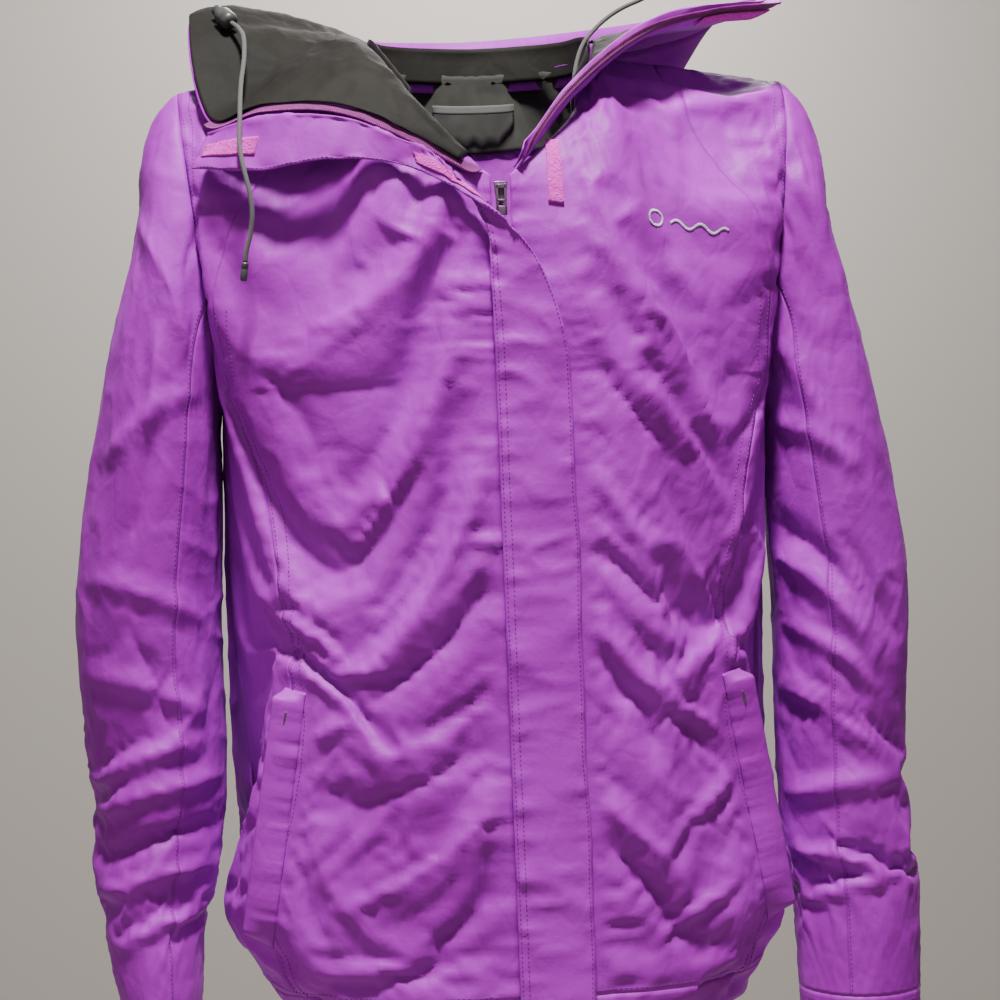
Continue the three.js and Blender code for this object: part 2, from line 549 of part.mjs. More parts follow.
// The closed part hangs straight from its seam; the top is folded open with the collar.
const flapOut = CHAIN_SINK + FLAP_STAND + CLOTH / 2;
const flapTop = -(FLAP_TOP - VEE_DEPTH);
const flapHeight = flapTop + zipLength + 10;
const flapX = -FLAP_SEAM + FLAP_WIDTH / 2;
zipBlock('storm_flap', [FLAP_WIDTH, CLOTH, flapHeight], [flapX, flapOut, flapTop - flapHeight / 2], SHELL);
const flapEdge = through([
  [FLAP_WIDTH - FLAP_SEAM, -frontDepth(-FLAP_TOP) - FLAP_STAND - 2, -FLAP_TOP + 2],
  [FLAP_WIDTH - 18, -FRONT_TOP_DEPTH - 10, -VEE_DEPTH - 76],
  [12, -FRONT_TOP_DEPTH - 12, -VEE_DEPTH - 42],
  [-22, -FRONT_TOP_DEPTH - 9, -VEE_DEPTH - 14],
  [-62, -FRONT_TOP_DEPTH + 1, -VEE_DEPTH + 8],
  [-108, -FRONT_TOP_DEPTH + 9, -VEE_DEPTH + 14],
  [-152, -FRONT_TOP_DEPTH + 23, -VEE_DEPTH + 10],
  [-196, -FRONT_TOP_DEPTH + 46, -VEE_DEPTH + 16],
]);
const flapRoot = through([
  [-FLAP_SEAM, -frontDepth(-FLAP_TOP) - FLAP_STAND - 2, -FLAP_TOP + 2],
  [-FLAP_SEAM - 1, -FRONT_TOP_DEPTH - 8, -VEE_DEPTH - 70],
  [-FLAP_SEAM - 4, -FRONT_TOP_DEPTH - 8, -VEE_DEPTH - 30],
  ...[0.045, 0.075, 0.12, 0.18, 0.245].map((u) => {
    const [x, y, z] = hood(u, 1);
    return [x - 3, y - 7, z - 6];
  }),
]);
const foldedFlap = (u, v) => flapRoot(u).map((p, n) => lerp(p, flapEdge(u)[n], v));
mesh('storm_flap_top', cloth(foldedFlap, { nu: 12, nv: 2, v: [0, 1], thick: CLOTH / 2 }), SHELL);

// One hook patch stands for the row of them down the flap's inner side.
const hookOut = flapOut - (CLOTH + SEWN_GAP + PATCH_THICKNESS) / 2;
const hookX = -FLAP_SEAM + FLAP_WIDTH - PATCH_WIDTH;
const patch = [PATCH_WIDTH, PATCH_THICKNESS, PATCH_LENGTH];
zipBlock('flap_hook_patch', patch, [hookX, hookOut, flapTop - PATCH_DROP], HOOK);

// ---- Pockets ----

// Each pocket zip is straight, over the curved seam; its frame has z along the zip and y inwards.
for (const [side, sign] of wearerSides) {
  const [top, foot] = [-POCKET_TOP, -POCKET_TOP - POCKET_LENGTH].map((z) => {
    const rise = riseAt(z);
    return new THREE.Vector3(...body(sign, seamTurn(rise), rise));
  });
  const up = top.clone().sub(foot).normalize();
  const besideTurn = seamTurn(riseAt(-POCKET_TOP)) + BESIDE;
  const beside = new THREE.Vector3(...body(sign, besideTurn, riseAt(-POCKET_TOP)));
  const across = beside.sub(top).multiplyScalar(sign);
  const inwards = up.clone().cross(across).normalize();
  const sideways = inwards.clone().cross(up);
  const frame = new THREE.Group();
  frame.applyMatrix4(new THREE.Matrix4().makeBasis(sideways, inwards, up));
  frame.position.copy(top.clone().add(foot).multiplyScalar(0.5));
  group.add(frame);
  // The seam bows out between its ends, so everything stands clear of its highest point.
  const bows = steps([0, 1], 12).map((share) => {
    const rise = riseAt(-POCKET_TOP - share * POCKET_LENGTH);
    const out = [-BESIDE, 0, BESIDE].map((turn) => body(sign, seamTurn(rise) + turn, rise));
    return Math.max(...out.map((p) => -new THREE.Vector3(...p).sub(frame.position).dot(inwards)));
  });
  const bow = Math.max(...bows) + 1;
  const block = (name, [width, thickness, height], [x, out, z], look) => {
    const piece = mesh(name, new THREE.BoxGeometry(width, thickness, height), look, frame);
    piece.position.set(x, -bow - out - thickness / 2, z);
  };
  const zip = [POCKET_CHAIN + 2 * POCKET_TAPE, POCKET_ZIP_THICKNESS, POCKET_LENGTH];
  block(`pocket_zip_${side}`, zip, [0, 0, 0], TAPE);
  const sliderZ = POCKET_LENGTH / 2 - POCKET_SLIDER;
  const sliderSize = [POCKET_CHAIN + 3, POCKET_SLIDER_THICKNESS, POCKET_SLIDER];
  const pocketSliderOut = POCKET_ZIP_THICKNESS + SEWN_GAP;
  block(`pocket_slider_${side}`, sliderSize, [0, pocketSliderOut, sliderZ], SLIDER);
  const welt = [WELT_WIDTH, CLOTH, POCKET_LENGTH + 2 * WELT_PAST_ZIP];
  const weltOut = pocketSliderOut + POCKET_SLIDER_THICKNESS + SEWN_GAP;
  block(`pocket_welt_${side}`, welt, [0, weltOut, 0], SHELL);
  const bagTop = -POCKET_TOP + BAG_ABOVE;
  const bagRows = { v: [riseAt(bagTop - BAG_ABOVE - BAG_DEPTH - BAG_BELOW), riseAt(bagTop)], nu: 4, nv: 4 };
  const bag = (u, v) => body(sign, lerp(zipTurn * 3, seamTurn(v) - 0.02, u), v);
  const inside = { thick: BAG_CLOTH, stand: -CLOTH - BAG_ROOM, u: toward([0.15, 1], sign) };
  mesh(`pocket_bag_${side}`, cloth(bag, { ...bagRows, ...inside }), MESH);
}

// ---- Hem ----

for (const [side, sign] of wearerSides) {
  const around = (u, v) => body(sign, u <= 1 ? u : 2 - u, v, u > 1);
  const range = { u: toward([zipTurn, 2 - TURN_GAP], sign), v: [0, HEM_RISE], nu: 16, nv: 1 };
  mesh(`hem_channel_${side}`, cloth(around, range), SHELL_DARK);
}
const cordInset = CLOTH + 1 + HEM_CORD / 2;
const hemRing = steps([-0.93, 0.93], 36).map((share) => {
  const z = HEM_Z + HEM_BAND / 2;
  const turn = 2 * (1 - Math.abs(share));
  const behind = turn < 1;
  const [x, y] = section(behind ? turn : 2 - turn, z, behind);
  const inset = 1 - cordInset / Math.hypot(x, y);
  return [Math.sign(share) * x * inset, y * inset, z];
});
mesh('hem_cord', tube(hemRing, HEM_CORD), CORD);
for (const [side, sign] of wearerSides) {
  const lockX = profileAt(HEM_Z + HEM_BAND / 2)[0] - cordInset - HEM_CORD / 2 - SEWN_GAP - LOCK_DIAMETER / 2;
  const lockZ = HEM_Z + HEM_BAND / 2;
  const lock = new THREE.CylinderGeometry(LOCK_DIAMETER / 2, LOCK_DIAMETER / 2, LOCK_LENGTH, 14);
  mesh(`hem_lock_${side}`, lock, PLASTIC).position.set(sign * lockX, 0, lockZ);
  const button = new THREE.CylinderGeometry(BUTTON_DIAMETER / 2, BUTTON_DIAMETER / 2, BUTTON_STANDS, 12);
  const buttonY = -(LOCK_LENGTH + BUTTON_STANDS) / 2 - BUTTON_TRAVEL - SEWN_GAP;
  mesh(`hem_lock_button_${side}`, button, PLASTIC).position.set(sign * lockX, buttonY, lockZ);
}

const pullZ = HEM_Z + HEM_PULL_RISE;
const pullX = profileAt(pullZ)[0] + HEM_PULL_STANDS;
mesh('hem_pull_left', new THREE.BoxGeometry(...HEM_PULL_SIZE), PULL).position.set(pullX, 0, pullZ);

// ---- Hood cords ----

// Each cord hangs from its lock: points chosen along the way it falls, on the right over the
// turned-back collar and on the left down inside the collar.
const rightCord = [
  [-168, -16, 25], [-163, -24, 19], [-160, -36, 10], [-160, -50, -6], [-162, -66, -24], [-163, -80, -40],
  [-163.5, -92, -56], [-164, -99, -70], [-162.5, -105, -84], [-160, -108, -96], [-158, -109, -107],
  [-157.5, -109, -118], [-159, -108, -129], [-162, -107, -140], [-163, -106, -147],
];
const leftCord = [
  [166, -10, 50], [155, -14, 51], [142, -17, 48], [130, -19, 43], [119, -21, 38], [108, -23, 33],
  [97, -25, 28], [86, -27, 21], [76, -30, 12], [68, -34, 2], [63, -38, -10], [60, -42, -23],
  [58, -46, -37], [57, -48, -51], [56, -50, -66],
];
for (const [side, points] of [['right', rightCord], ['left', leftCord]]) {
  const [start, next] = points.map((p) => new THREE.Vector3(...p));
  const [before, end] = points.slice(-2).map((p) => new THREE.Vector3(...p));
  mesh(`hood_cord_${side}`, tube(points, HOOD_CORD), CORD);
  const upright = new THREE.Vector3(0, 1, 0);
  const turned = (direction) => new THREE.Quaternion().setFromUnitVectors(upright, direction);
  const tip = new THREE.CylinderGeometry(TIP_DIAMETER / 2, TIP_DIAMETER / 2, TIP_LENGTH, 10);
  const fall = end.clone().sub(before).normalize();
  const tipPiece = mesh(`cord_tip_${side}`, tip, PLASTIC);
  tipPiece.quaternion.copy(turned(fall));
  tipPiece.position.copy(end).addScaledVector(fall, SEWN_GAP + TIP_LENGTH / 2);
  const back = start.clone().sub(next).normalize();
  const lock = new THREE.CylinderGeometry(LOCK_DIAMETER / 2, LOCK_DIAMETER / 2, LOCK_LENGTH, 14);
  const lockPiece = mesh(`cord_lock_${side}`, lock, PLASTIC);
  lockPiece.quaternion.copy(turned(back));
  lockPiece.position.copy(start).addScaledVector(back, SEWN_GAP + LOCK_LENGTH / 2);
  const button = new THREE.CylinderGeometry(BUTTON_DIAMETER / 2, BUTTON_DIAMETER / 2, BUTTON_STANDS, 12);
  const buttonPiece = mesh(`cord_lock_button_${side}`, button, PLASTIC);
  buttonPiece.quaternion.copy(turned(back));
  const reach = 2 * SEWN_GAP + LOCK_LENGTH + BUTTON_TRAVEL + BUTTON_STANDS / 2;
  buttonPiece.position.copy(start).addScaledVector(back, reach);
}

// ---- Chest mark ----

const [markTurn, markRise] = MARK_PLACE;
const markPoints = [[0, 0], [0.03, 0], [0, 0.03]].map(([turn, rise]) => {
  return new THREE.Vector3(...body(1, markTurn + turn, markRise + rise));
});
const [markOrigin, markSide, markUp] = markPoints;
const markOut = markSide.sub(markOrigin).cross(markUp.sub(markOrigin)).normalize();
const disc = new THREE.CylinderGeometry(MARK_DIAMETER / 2, MARK_DIAMETER / 2, MARK_THICKNESS, 20);
const markPiece = mesh('chest_mark', disc.rotateX(Math.PI / 2), THREAD);
markPiece.quaternion.setFromUnitVectors(new THREE.Vector3(0, 0, 1), markOut);
markPiece.position.copy(markOrigin).addScaledVector(markOut, MARK_STANDS);

export default group;
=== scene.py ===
import math

import bpy
import numpy as np
from mathutils import Matrix, Vector


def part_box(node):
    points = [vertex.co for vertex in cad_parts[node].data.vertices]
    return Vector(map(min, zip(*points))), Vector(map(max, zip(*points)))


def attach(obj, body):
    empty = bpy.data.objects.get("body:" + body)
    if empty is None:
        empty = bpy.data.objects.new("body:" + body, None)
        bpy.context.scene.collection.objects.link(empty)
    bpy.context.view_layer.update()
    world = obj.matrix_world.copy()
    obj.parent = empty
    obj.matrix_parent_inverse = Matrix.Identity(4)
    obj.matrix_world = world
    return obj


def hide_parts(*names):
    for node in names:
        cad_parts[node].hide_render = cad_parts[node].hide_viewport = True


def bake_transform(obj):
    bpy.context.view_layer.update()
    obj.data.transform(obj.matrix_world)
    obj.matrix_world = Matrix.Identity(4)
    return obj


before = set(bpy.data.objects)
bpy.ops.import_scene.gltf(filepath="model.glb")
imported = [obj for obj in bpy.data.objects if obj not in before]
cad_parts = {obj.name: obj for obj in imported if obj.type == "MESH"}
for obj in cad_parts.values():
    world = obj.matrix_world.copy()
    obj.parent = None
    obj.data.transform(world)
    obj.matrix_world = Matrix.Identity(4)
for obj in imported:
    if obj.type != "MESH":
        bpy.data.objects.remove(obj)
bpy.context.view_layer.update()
scene = bpy.context.scene
MM = 0.001

# Camera: at chest height and a little to the wearer's right, leaning a little.
CAMERA_TURN, CAMERA_LEAN = math.radians(5), math.radians(2.2)
CAMERA_AWAY, CAMERA_Z, LENS_MM, LENS_SHIFT = 1.5, -0.304, 78.3, 0.004
ahead = Vector((math.sin(CAMERA_TURN), math.cos(CAMERA_TURN), 0))
right = Vector((math.cos(CAMERA_TURN), -math.sin(CAMERA_TURN), 0))
up = Vector((0, 0, 1))
leaning_right = right * math.cos(CAMERA_LEAN) - up * math.sin(CAMERA_LEAN)
leaning_up = up * math.cos(CAMERA_LEAN) + right * math.sin(CAMERA_LEAN)
camera = bpy.data.objects.new("camera", bpy.data.cameras.new("camera"))
scene.collection.objects.link(camera)
scene.camera = camera
turned = Matrix((leaning_right, leaning_up, -ahead)).transposed().to_4x4()
camera.matrix_world = Matrix.Translation(Vector((0, 0, CAMERA_Z)) - CAMERA_AWAY * ahead) @ turned
camera.data.lens = LENS_MM
camera.data.shift_x = LENS_SHIFT


# Materials: every finish is built from sums of node values, which this class writes as arithmetic.
class Value:
    def __init__(self, finish, socket):
        self.finish, self.socket = finish, socket

    def math(self, operation, *others, backwards=False):
        terms = (self, *others) if not backwards else (*others, self)
        return self.finish.node("ShaderNodeMath", operation=operation, inputs=terms)

    def __add__(self, other):
        return self.math("ADD", other)

    def __sub__(self, other):
        return self.math("SUBTRACT", other)

    def __mul__(self, other):
        return self.math("MULTIPLY", other)

    def __truediv__(self, other):
        return self.math("DIVIDE", other)

    def __pow__(self, other):
        return self.math("POWER", other)

    def __rsub__(self, other):
        return self.math("SUBTRACT", other, backwards=True)

    def __rtruediv__(self, other):
        return self.math("DIVIDE", other, backwards=True)

    __radd__, __rmul__ = __add__, __mul__

    def sine(self):
        return self.math("SINE")

    def size(self):
        return self.math("ABSOLUTE")

    def within(self, low, high):
        """0 at low and below, 1 at high and above."""
        inputs = (self, low, high, 0.0, 1.0)
        return self.finish.node("ShaderNodeMapRange", inputs, interpolation_type="SMOOTHSTEP")


class Finish:
    """One material: nodes are made with node(), and end in the one surface shader."""

    def __init__(self, name, **constants):
        self.material = bpy.data.materials.new(name)
        self.material.use_nodes = True
        self.tree = self.material.node_tree
        self.shader = self.tree.nodes["Principled BSDF"]
        for key, value in constants.items():
            self.shader.inputs[key.replace("_", " ")].default_value = value

    def node(self, kind, inputs=(), output=0, **settings):
        made = self.tree.nodes.new(kind)
        for key, value in settings.items():
            setattr(made, key, value)
        names = inputs.items() if isinstance(inputs, dict) else enumerate(inputs)
        for key, value in names:
            self.join(value, made.inputs[key])
        return Value(self, made.outputs[output])

    def join(self, value, socket):
        if isinstance(value, Value):
            self.tree.links.new(value.socket, socket)
        else:
            socket.default_value = value

    def place(self, output="Object"):
        return self.node("ShaderNodeTexCoord", output=output)

    def noise(self, where, scale, detail=3.0, roughness=0.5):
        inputs = {"Vector": where, "Scale": scale, "Detail": detail, "Roughness": roughness}
        return self.node("ShaderNodeTexNoise", inputs=inputs)

    def cells(self, where, scale, feature="F1", output=0):
        inputs = {"Vector": where, "Scale": scale}
        return self.node("ShaderNodeTexVoronoi", inputs=inputs, feature=feature, output=output)

    def stretched(self, where, factors):
        inputs = {"Vector": where, "Scale": factors}
        return self.node("ShaderNodeMapping", inputs=inputs)

    def axis(self, where, letter):
        return self.node("ShaderNodeSeparateXYZ", inputs=(where,), output="XYZ".index(letter))

    def mixed(self, share, first, second):
        inputs = {0: share, 6: first, 7: second}
        return self.node("ShaderNodeMix", inputs=inputs, output=2, data_type="RGBA")

    def relief(self, height, depth, strength=1.0):
        """Turns a height into a bump that is depth metres deep."""
        inputs = {"Strength": strength, "Distance": depth, "Height": height}
        self.join(self.node("ShaderNodeBump", inputs=inputs), self.shader.inputs["Normal"])

    def shows(self, **sockets):
        for key, value in sockets.items():
            self.join(value, self.shader.inputs[key.replace("_", " ")])
        return self.material


NYLON_WEAVE = 9000.0  # threads run this fast over the flat cloth, in radians a metre


def weave_of(f, rate, other_rate):
    """Two sine waves across and along the flat cloth."""
    where = f.place("UV")
    return (f.axis(where, "X") * rate).sine(), (f.axis(where, "Y") * other_rate).sine()


def nylon(name, deep, bright, gloss, shine=0.24):
    """Thin coated nylon: a fine weave, soft crinkles, and colour that shifts a little in the folds."""
    f = Finish(name, Sheen_Weight=0.03, Sheen_Roughness=0.4, Specular_IOR_Level=shine)
    f.shader.inputs["Sheen Tint"].default_value = (0.85, 0.5, 1.0, 1.0)
    where = f.place()
    cloud = f.noise(where, 9.0, 4.0)
    creases = f.cells(f.stretched(where, (1.0, 1.0, 0.7)), 46.0, "DISTANCE_TO_EDGE")
    crinkle = f.noise(where, 75.0, 4.0, 0.62)
    across, along = weave_of(f, NYLON_WEAVE, NYLON_WEAVE)
    height = crinkle * 0.9 + creases.within(0.0, 0.12) * 0.18 + across * along * 0.03
    f.relief(height, 0.0011, 0.55)
    rub = f.noise(where, 240.0, 2.0)
    return f.shows(
        Base_Color=f.mixed(cloud.within(0.3, 0.7), deep, bright),
        Roughness=gloss + (cloud - 0.5) * 0.12 + (rub - 0.5) * 0.08,
    )


SHELL_CLOTH = nylon("shell_nylon", (0.35, 0.009, 0.45, 1), (0.49, 0.022, 0.64, 1), 0.5)
# A lighter copy of the shell nylon: painted light, for cloth that faces up into the light.
SHELL_PAINTED_LIT = nylon("shell_nylon_painted_lit", (0.43, 0.022, 0.54, 1), (0.56, 0.040, 0.72, 1), 0.5)

# Body of the shell: a ring of four quarters, each a grid from the middle to the side seam
# and from the hem to the neck and shoulder. Sizes here are in millimetres.
HEM_Z, UNDERARM_Z, VEE_Z = -640, -225, -98
CHEST_HALF, NECK_HALF, SHOULDER_HALF, SHOULDER_DROP = 184, 78, 207, 20
DEPTH_AT_VEE, DEPTH_AT_HEM, ROUNDNESS = 121, 129, 0.83
BUST_OUT, BUST_X, BUST_Z = 17, 86, -255
ARM_X, ARM_LEAN, ARM_DEPTH, ARM_HALF_HEIGHT = 195, 12, 57, 102.5
UNDERARM_RISE, SEAM_TOP_RISE, HEM_RISE = 0.64, 0.76, 0.0308
POCKET_TOP, POCKET_FOOT = -428, -578
PANEL_TO_ZIP = 6


def spline(a, b, c, d, f):
    """The smooth curve from b to c, f of the way along, with a before it and d after it."""
    bend = 2 * a - 5 * b + 4 * c - d
    twist = 3 * b - a - 3 * c + d
    return 0.5 * (2 * b + (c - a) * f + bend * f**2 + twist * f**3)


def through(stations):
    """A smooth track through equally spaced stations, each a list of numbers."""
    stations = np.array(stations, float)
    last = len(stations) - 1

    def at(share):
        place = np.clip(np.asarray(share, float), 0, 1) * last
        first = np.minimum(np.floor(place).astype(int), last - 1)
        around = (stations[np.clip(first + k, 0, last)] for k in (-1, 0, 1, 2))
        return spline(*around, (place - first)[..., None])

    return at


def bell(x, middle, spread):
    return np.exp(-(((x - middle) / spread) ** 2))


def mix(a, b, share):
    return a + (b - a) * share


def smooth(x):
    x = np.clip(x, 0, 1)
    return x * x * (3 - 2 * x)


def unit(v):
    return v / max(np.linalg.norm(v), 1e-9)


def unit_rows(v):
    return v / np.linalg.norm(v, axis=1, keepdims=True)


def run_of(line):
    """How far along the line each of its points lies."""
    return np.concatenate([[0], np.cumsum(np.linalg.norm(np.diff(line, axis=0), axis=1))])


def at_marks(marks, way, line):
    return np.stack([np.interp(marks, way, line[:, n]) for n in range(3)], 1)


body_profile = through(
    [[CHEST_HALF, 106], [178, 99.5], [176, 96], [177.9, 102.6], [185.6, 113.6], [192, 118], [158, 104]]
)
front_neck = through([[0, -121, -98], [39, -99.2, -64.7], [66.3, -60.5, -26.5], [NECK_HALF, 0, 0]])
back_neck = through([[0, 72, 5], [39, 66.2, 5], [68.6, 39.6, 4], [NECK_HALF, 0, 0]])
seam_track = through([[0.64], [0.665], [0.6], [0.555], [0.58], [0.6], [0.66], [0.78], [0.9]])


def front_depth(z):
    return mix(DEPTH_AT_VEE, DEPTH_AT_HEM, (z - VEE_Z) / (HEM_Z - VEE_Z))


def bust(x, z):
    return BUST_OUT * bell(np.abs(x), BUST_X, 38) * bell(z, BUST_Z, np.where(z < BUST_Z, 190, 85))


def section(turn, z, behind):
    """Level z of the body: turn 0 is the middle and 1 is the side."""
    half, back = np.moveaxis(body_profile((UNDERARM_Z - z) / (UNDERARM_Z - HEM_Z)), -1, 0)
    angle = np.clip(turn, 0, 1) * math.pi / 2
    x = half * np.sin(angle) ** ROUNDNESS
    y = np.clip(np.cos(angle), 0, 1) ** ROUNDNESS
    y = back * y if behind else -front_depth(z) * y - bust(x, z)
    return np.stack(np.broadcast_arrays(x, y, z), -1).astype(float)


def armhole(angle):
    lean = np.cos(angle)
    x, y = ARM_X + ARM_LEAN * lean, -ARM_DEPTH * np.sin(angle)
    return np.stack([x, y, -SHOULDER_DROP - ARM_HALF_HEIGHT * (1 - lean)], -1)


def top_edge(turn, behind):
    neck = (back_neck if behind else front_neck)(turn * 2)
    along = np.clip((turn - 0.5) * 2, 0, 1)
    shoulder = np.stack([mix(NECK_HALF, SHOULDER_HALF, along), 0 * along, -SHOULDER_DROP * along], -1)
    return np.where((turn < 0.5)[..., None], neck, shoulder)


def quarter(turn, rise, behind):
    """Points of one quarter: level rings to the underarm, then a patch between four edges."""
    turn, rise = (a.astype(float) for a in np.broadcast_arrays(turn, rise))
    low = section(turn, mix(HEM_Z, UNDERARM_Z, rise / UNDERARM_RISE), behind)
    rising = np.clip((rise - UNDERARM_RISE) / (1 - UNDERARM_RISE), 0, 1)
    foot, head = section(turn, np.full_like(turn, UNDERARM_Z), behind), top_edge(turn, behind)
    side = armhole(math.pi * (1 + rising if behind else 1 - rising))
    nought = np.zeros_like(turn)
    middle = [section(nought, nought + UNDERARM_Z, behind), top_edge(nought, behind)]
    corners = [armhole(nought + math.pi), armhole(nought)]
    rounded = 1 - (1 - rising**1.5) ** (1 / 1.5)
    share = np.stack([rising, rounded, rising], -1)
    turn3, rising3 = turn[..., None], rising[..., None]
    square = mix(mix(middle[0], corners[0], turn3), mix(middle[1], corners[1], turn3), share)
    high = mix(foot, head, share) + mix(mix(*middle, rising3), side, turn3) - square
    if not behind:
        fuller = bust(high[..., 0], high[..., 2]) - bust(foot[..., 0], UNDERARM_Z) * (1 - rising)
        high[..., 1] -= fuller * (1 - rising)
    return np.where((rise <= UNDERARM_RISE)[..., None], low, high)


SIDE_COLUMNS, SEAM_COLUMN, NECK_COLUMN = 42, 28, 21
rises = np.concatenate(
    [
        np.linspace(0, HEM_RISE, 4)[:-1],
        np.linspace(HEM_RISE, UNDERARM_RISE, 66)[:-1],
        np.linspace(UNDERARM_RISE, 1, 39),
    ]
)
HEM_ROW, UNDERARM_ROW, TOP_ROW = 3, 68, len(rises) - 1

# The curved seam runs from the hem through the pocket to the armhole.
seam_turns = mix(
    seam_track(rises / SEAM_TOP_RISE)[:, 0], SEAM_COLUMN / SIDE_COLUMNS, smooth((rises - 0.77) / 0.15)
)
columns = np.arange(SIDE_COLUMNS + 1)[:, None]
inner_turn = seam_turns * columns / SEAM_COLUMN
outer_turn = mix(seam_turns, 1.0, (columns - SEAM_COLUMN) / (SIDE_COLUMNS - SEAM_COLUMN))
front_turns = np.where(columns <= SEAM_COLUMN, inner_turn, outer_turn)
even_turns = columns / SIDE_COLUMNS + 0 * rises
SIDES = {"right": -1, "left": 1}
quarters = {}
for side, sign in SIDES.items():
    for behind in (False, True):
        grid = quarter(even_turns if behind else front_turns, rises, behind)
        if not behind:
            grid[..., 0] += PANEL_TO_ZIP * np.clip(1 - columns / NECK_COLUMN, 0, 1)
        grid[..., 0] *= sign
        quarters[side, behind] = grid


def normals(grid, outwards):
    """Unit normals of a grid of points; outwards is 1 or -1 to have them face away from the body."""
    cross = np.cross(np.gradient(grid, axis=0), np.gradient(grid, axis=1))
    length = np.linalg.norm(cross, axis=-1, keepdims=True)
    return outwards * cross / np.maximum(length, 1e-9)


def fold(grid, ends, width, height):
    """How far each point stands out on one fold, seen from in front: a soft ridge, a crisp crest."""
    x, z = grid[..., 0], grid[..., 2]
    x1, z1, x2, z2 = ends
    length = math.hypot(x2 - x1, z2 - z1)
    along = ((x - x1) * (x2 - x1) + (z - z1) * (z2 - z1)) / length
    curve = 0.06 * length * np.sin(math.pi * np.clip(along / length, 0, 1))
    across = ((x - x1) * (z2 - z1) - (z - z1) * (x2 - x1)) / length + curve
    ridge = np.clip(1 - np.abs(across) / width, 0, 1) ** 1.4
    reach = smooth((along + width) / (0.35 * length))
    reach = reach * smooth((length + width - along) / (0.45 * length))
    return height * ridge * reach


# Folds: start x and z, end x and z, half width and height. The long ones drag from the bust
# to the side and down from the flap; the short ones crumple the cloth at the pocket and hem.
FOLDS = {
    "right": [
        (-37, -205, -124, -350, 20, 7), (-63, -284, -135, -352, 22, -7), (-5, -256, -104, -416, 17, 6),
        (-20, -360, -84, -420, 20, -5), (-66, -410, -106, -413, 9, -3), (-145, -372, -116, -394, 8, 4),
        (-146, -392, -120, -412, 8, -4), (-148, -404, -112, -430, 9, 3), (-146, -214, -120, -280, 12, -4),
        (-8, -486, -122, -562, 20, 6), (-32, -462, -130, -498, 22, -6), (-20, -540, -74, -600, 15, -4),
        (-148, -470, -108, -440, 10, 4), (-50, -312, -94, -378, 10, 3), (-16, -420, -68, -448, 10, -3),
        (-12, -324, -50, -372, 12, 3), (-60, -150, -140, -190, 18, 3), (-40, -580, -130, -600, 10, 4),
        (-95, -490, -140, -540, 9, -3), (-30, -240, -60, -330, 14, -3),
    ],
    "left": [
        (84, -168, 130, -255, 22, 5), (126, -245, 151, -335, 20, 4.5), (149, -322, 154, -400, 18, 6),
        (40, -378, 97, -458, 18, 6), (44, -400, 92, -472, 16, -6), (104, -288, 122, -418, 15, -4),
        (42, -496, 112, -566, 18, 6), (48, -520, 100, -590, 14, -5), (62, -212, 144, -318, 16, 4),
        (46, -340, 90, -370, 12, -4), (112, -338, 157, -462, 16, 5), (70, -428, 148, -500, 14, -5),
        (100, -440, 140, -470, 8, 3), (108, -530, 148, -480, 9, 4), (90, -546, 140, -500, 8, -4),
        (116, -470, 150, -520, 7, 3), (45, -290, 80, -330, 14, 3), (84, -588, 140, -560, 9, 4),
        (130, -180, 150, -240, 12, -2), (110, -150, 140, -215, 12, 3),
    ],
}
FLAP_COVERS = {"right": 8, "left": 46}  # no listed fold is set closer than this to the middle
for (side, behind), grid in quarters.items():
    if behind:
        continue
    out = normals(grid, SIDES[side])
    free = smooth((np.abs(grid[..., 0]) - FLAP_COVERS[side]) / 14)
    free *= smooth((grid[..., 2] - HEM_Z - 8) / 25)
    off_seam = np.linalg.norm(grid - grid[SEAM_COLUMN], axis=-1)
    free *= 1 - 0.8 * smooth((26 - off_seam) / 10) * smooth((-410 - grid[..., 2]) / 14)
    for *ends, width, height in FOLDS[side]:
        grid += out * (fold(grid, ends, width, height) * free)[..., None]


def weld(grids):
    """Gives points that touch one number, and returns the points and each grid's numbers."""
    every = np.concatenate([grid.reshape(-1, 3) for grid in grids])
    _, first, number = np.unique(np.round(every, 2), axis=0, return_index=True, return_inverse=True)
    starts = np.cumsum([0] + [grid.shape[0] * grid.shape[1] for grid in grids])
    shapes = [grid.shape[:2] for grid in grids]
    number = number.reshape(-1)
    return every[first], [number[a:b].reshape(s) for a, b, s in zip(starts, starts[1:], shapes)]


def squares(ids):
    corners = ids[:-1, :-1], ids[1:, :-1], ids[1:, 1:], ids[:-1, 1:]
    return np.stack(corners, -1).reshape(-1, 4)


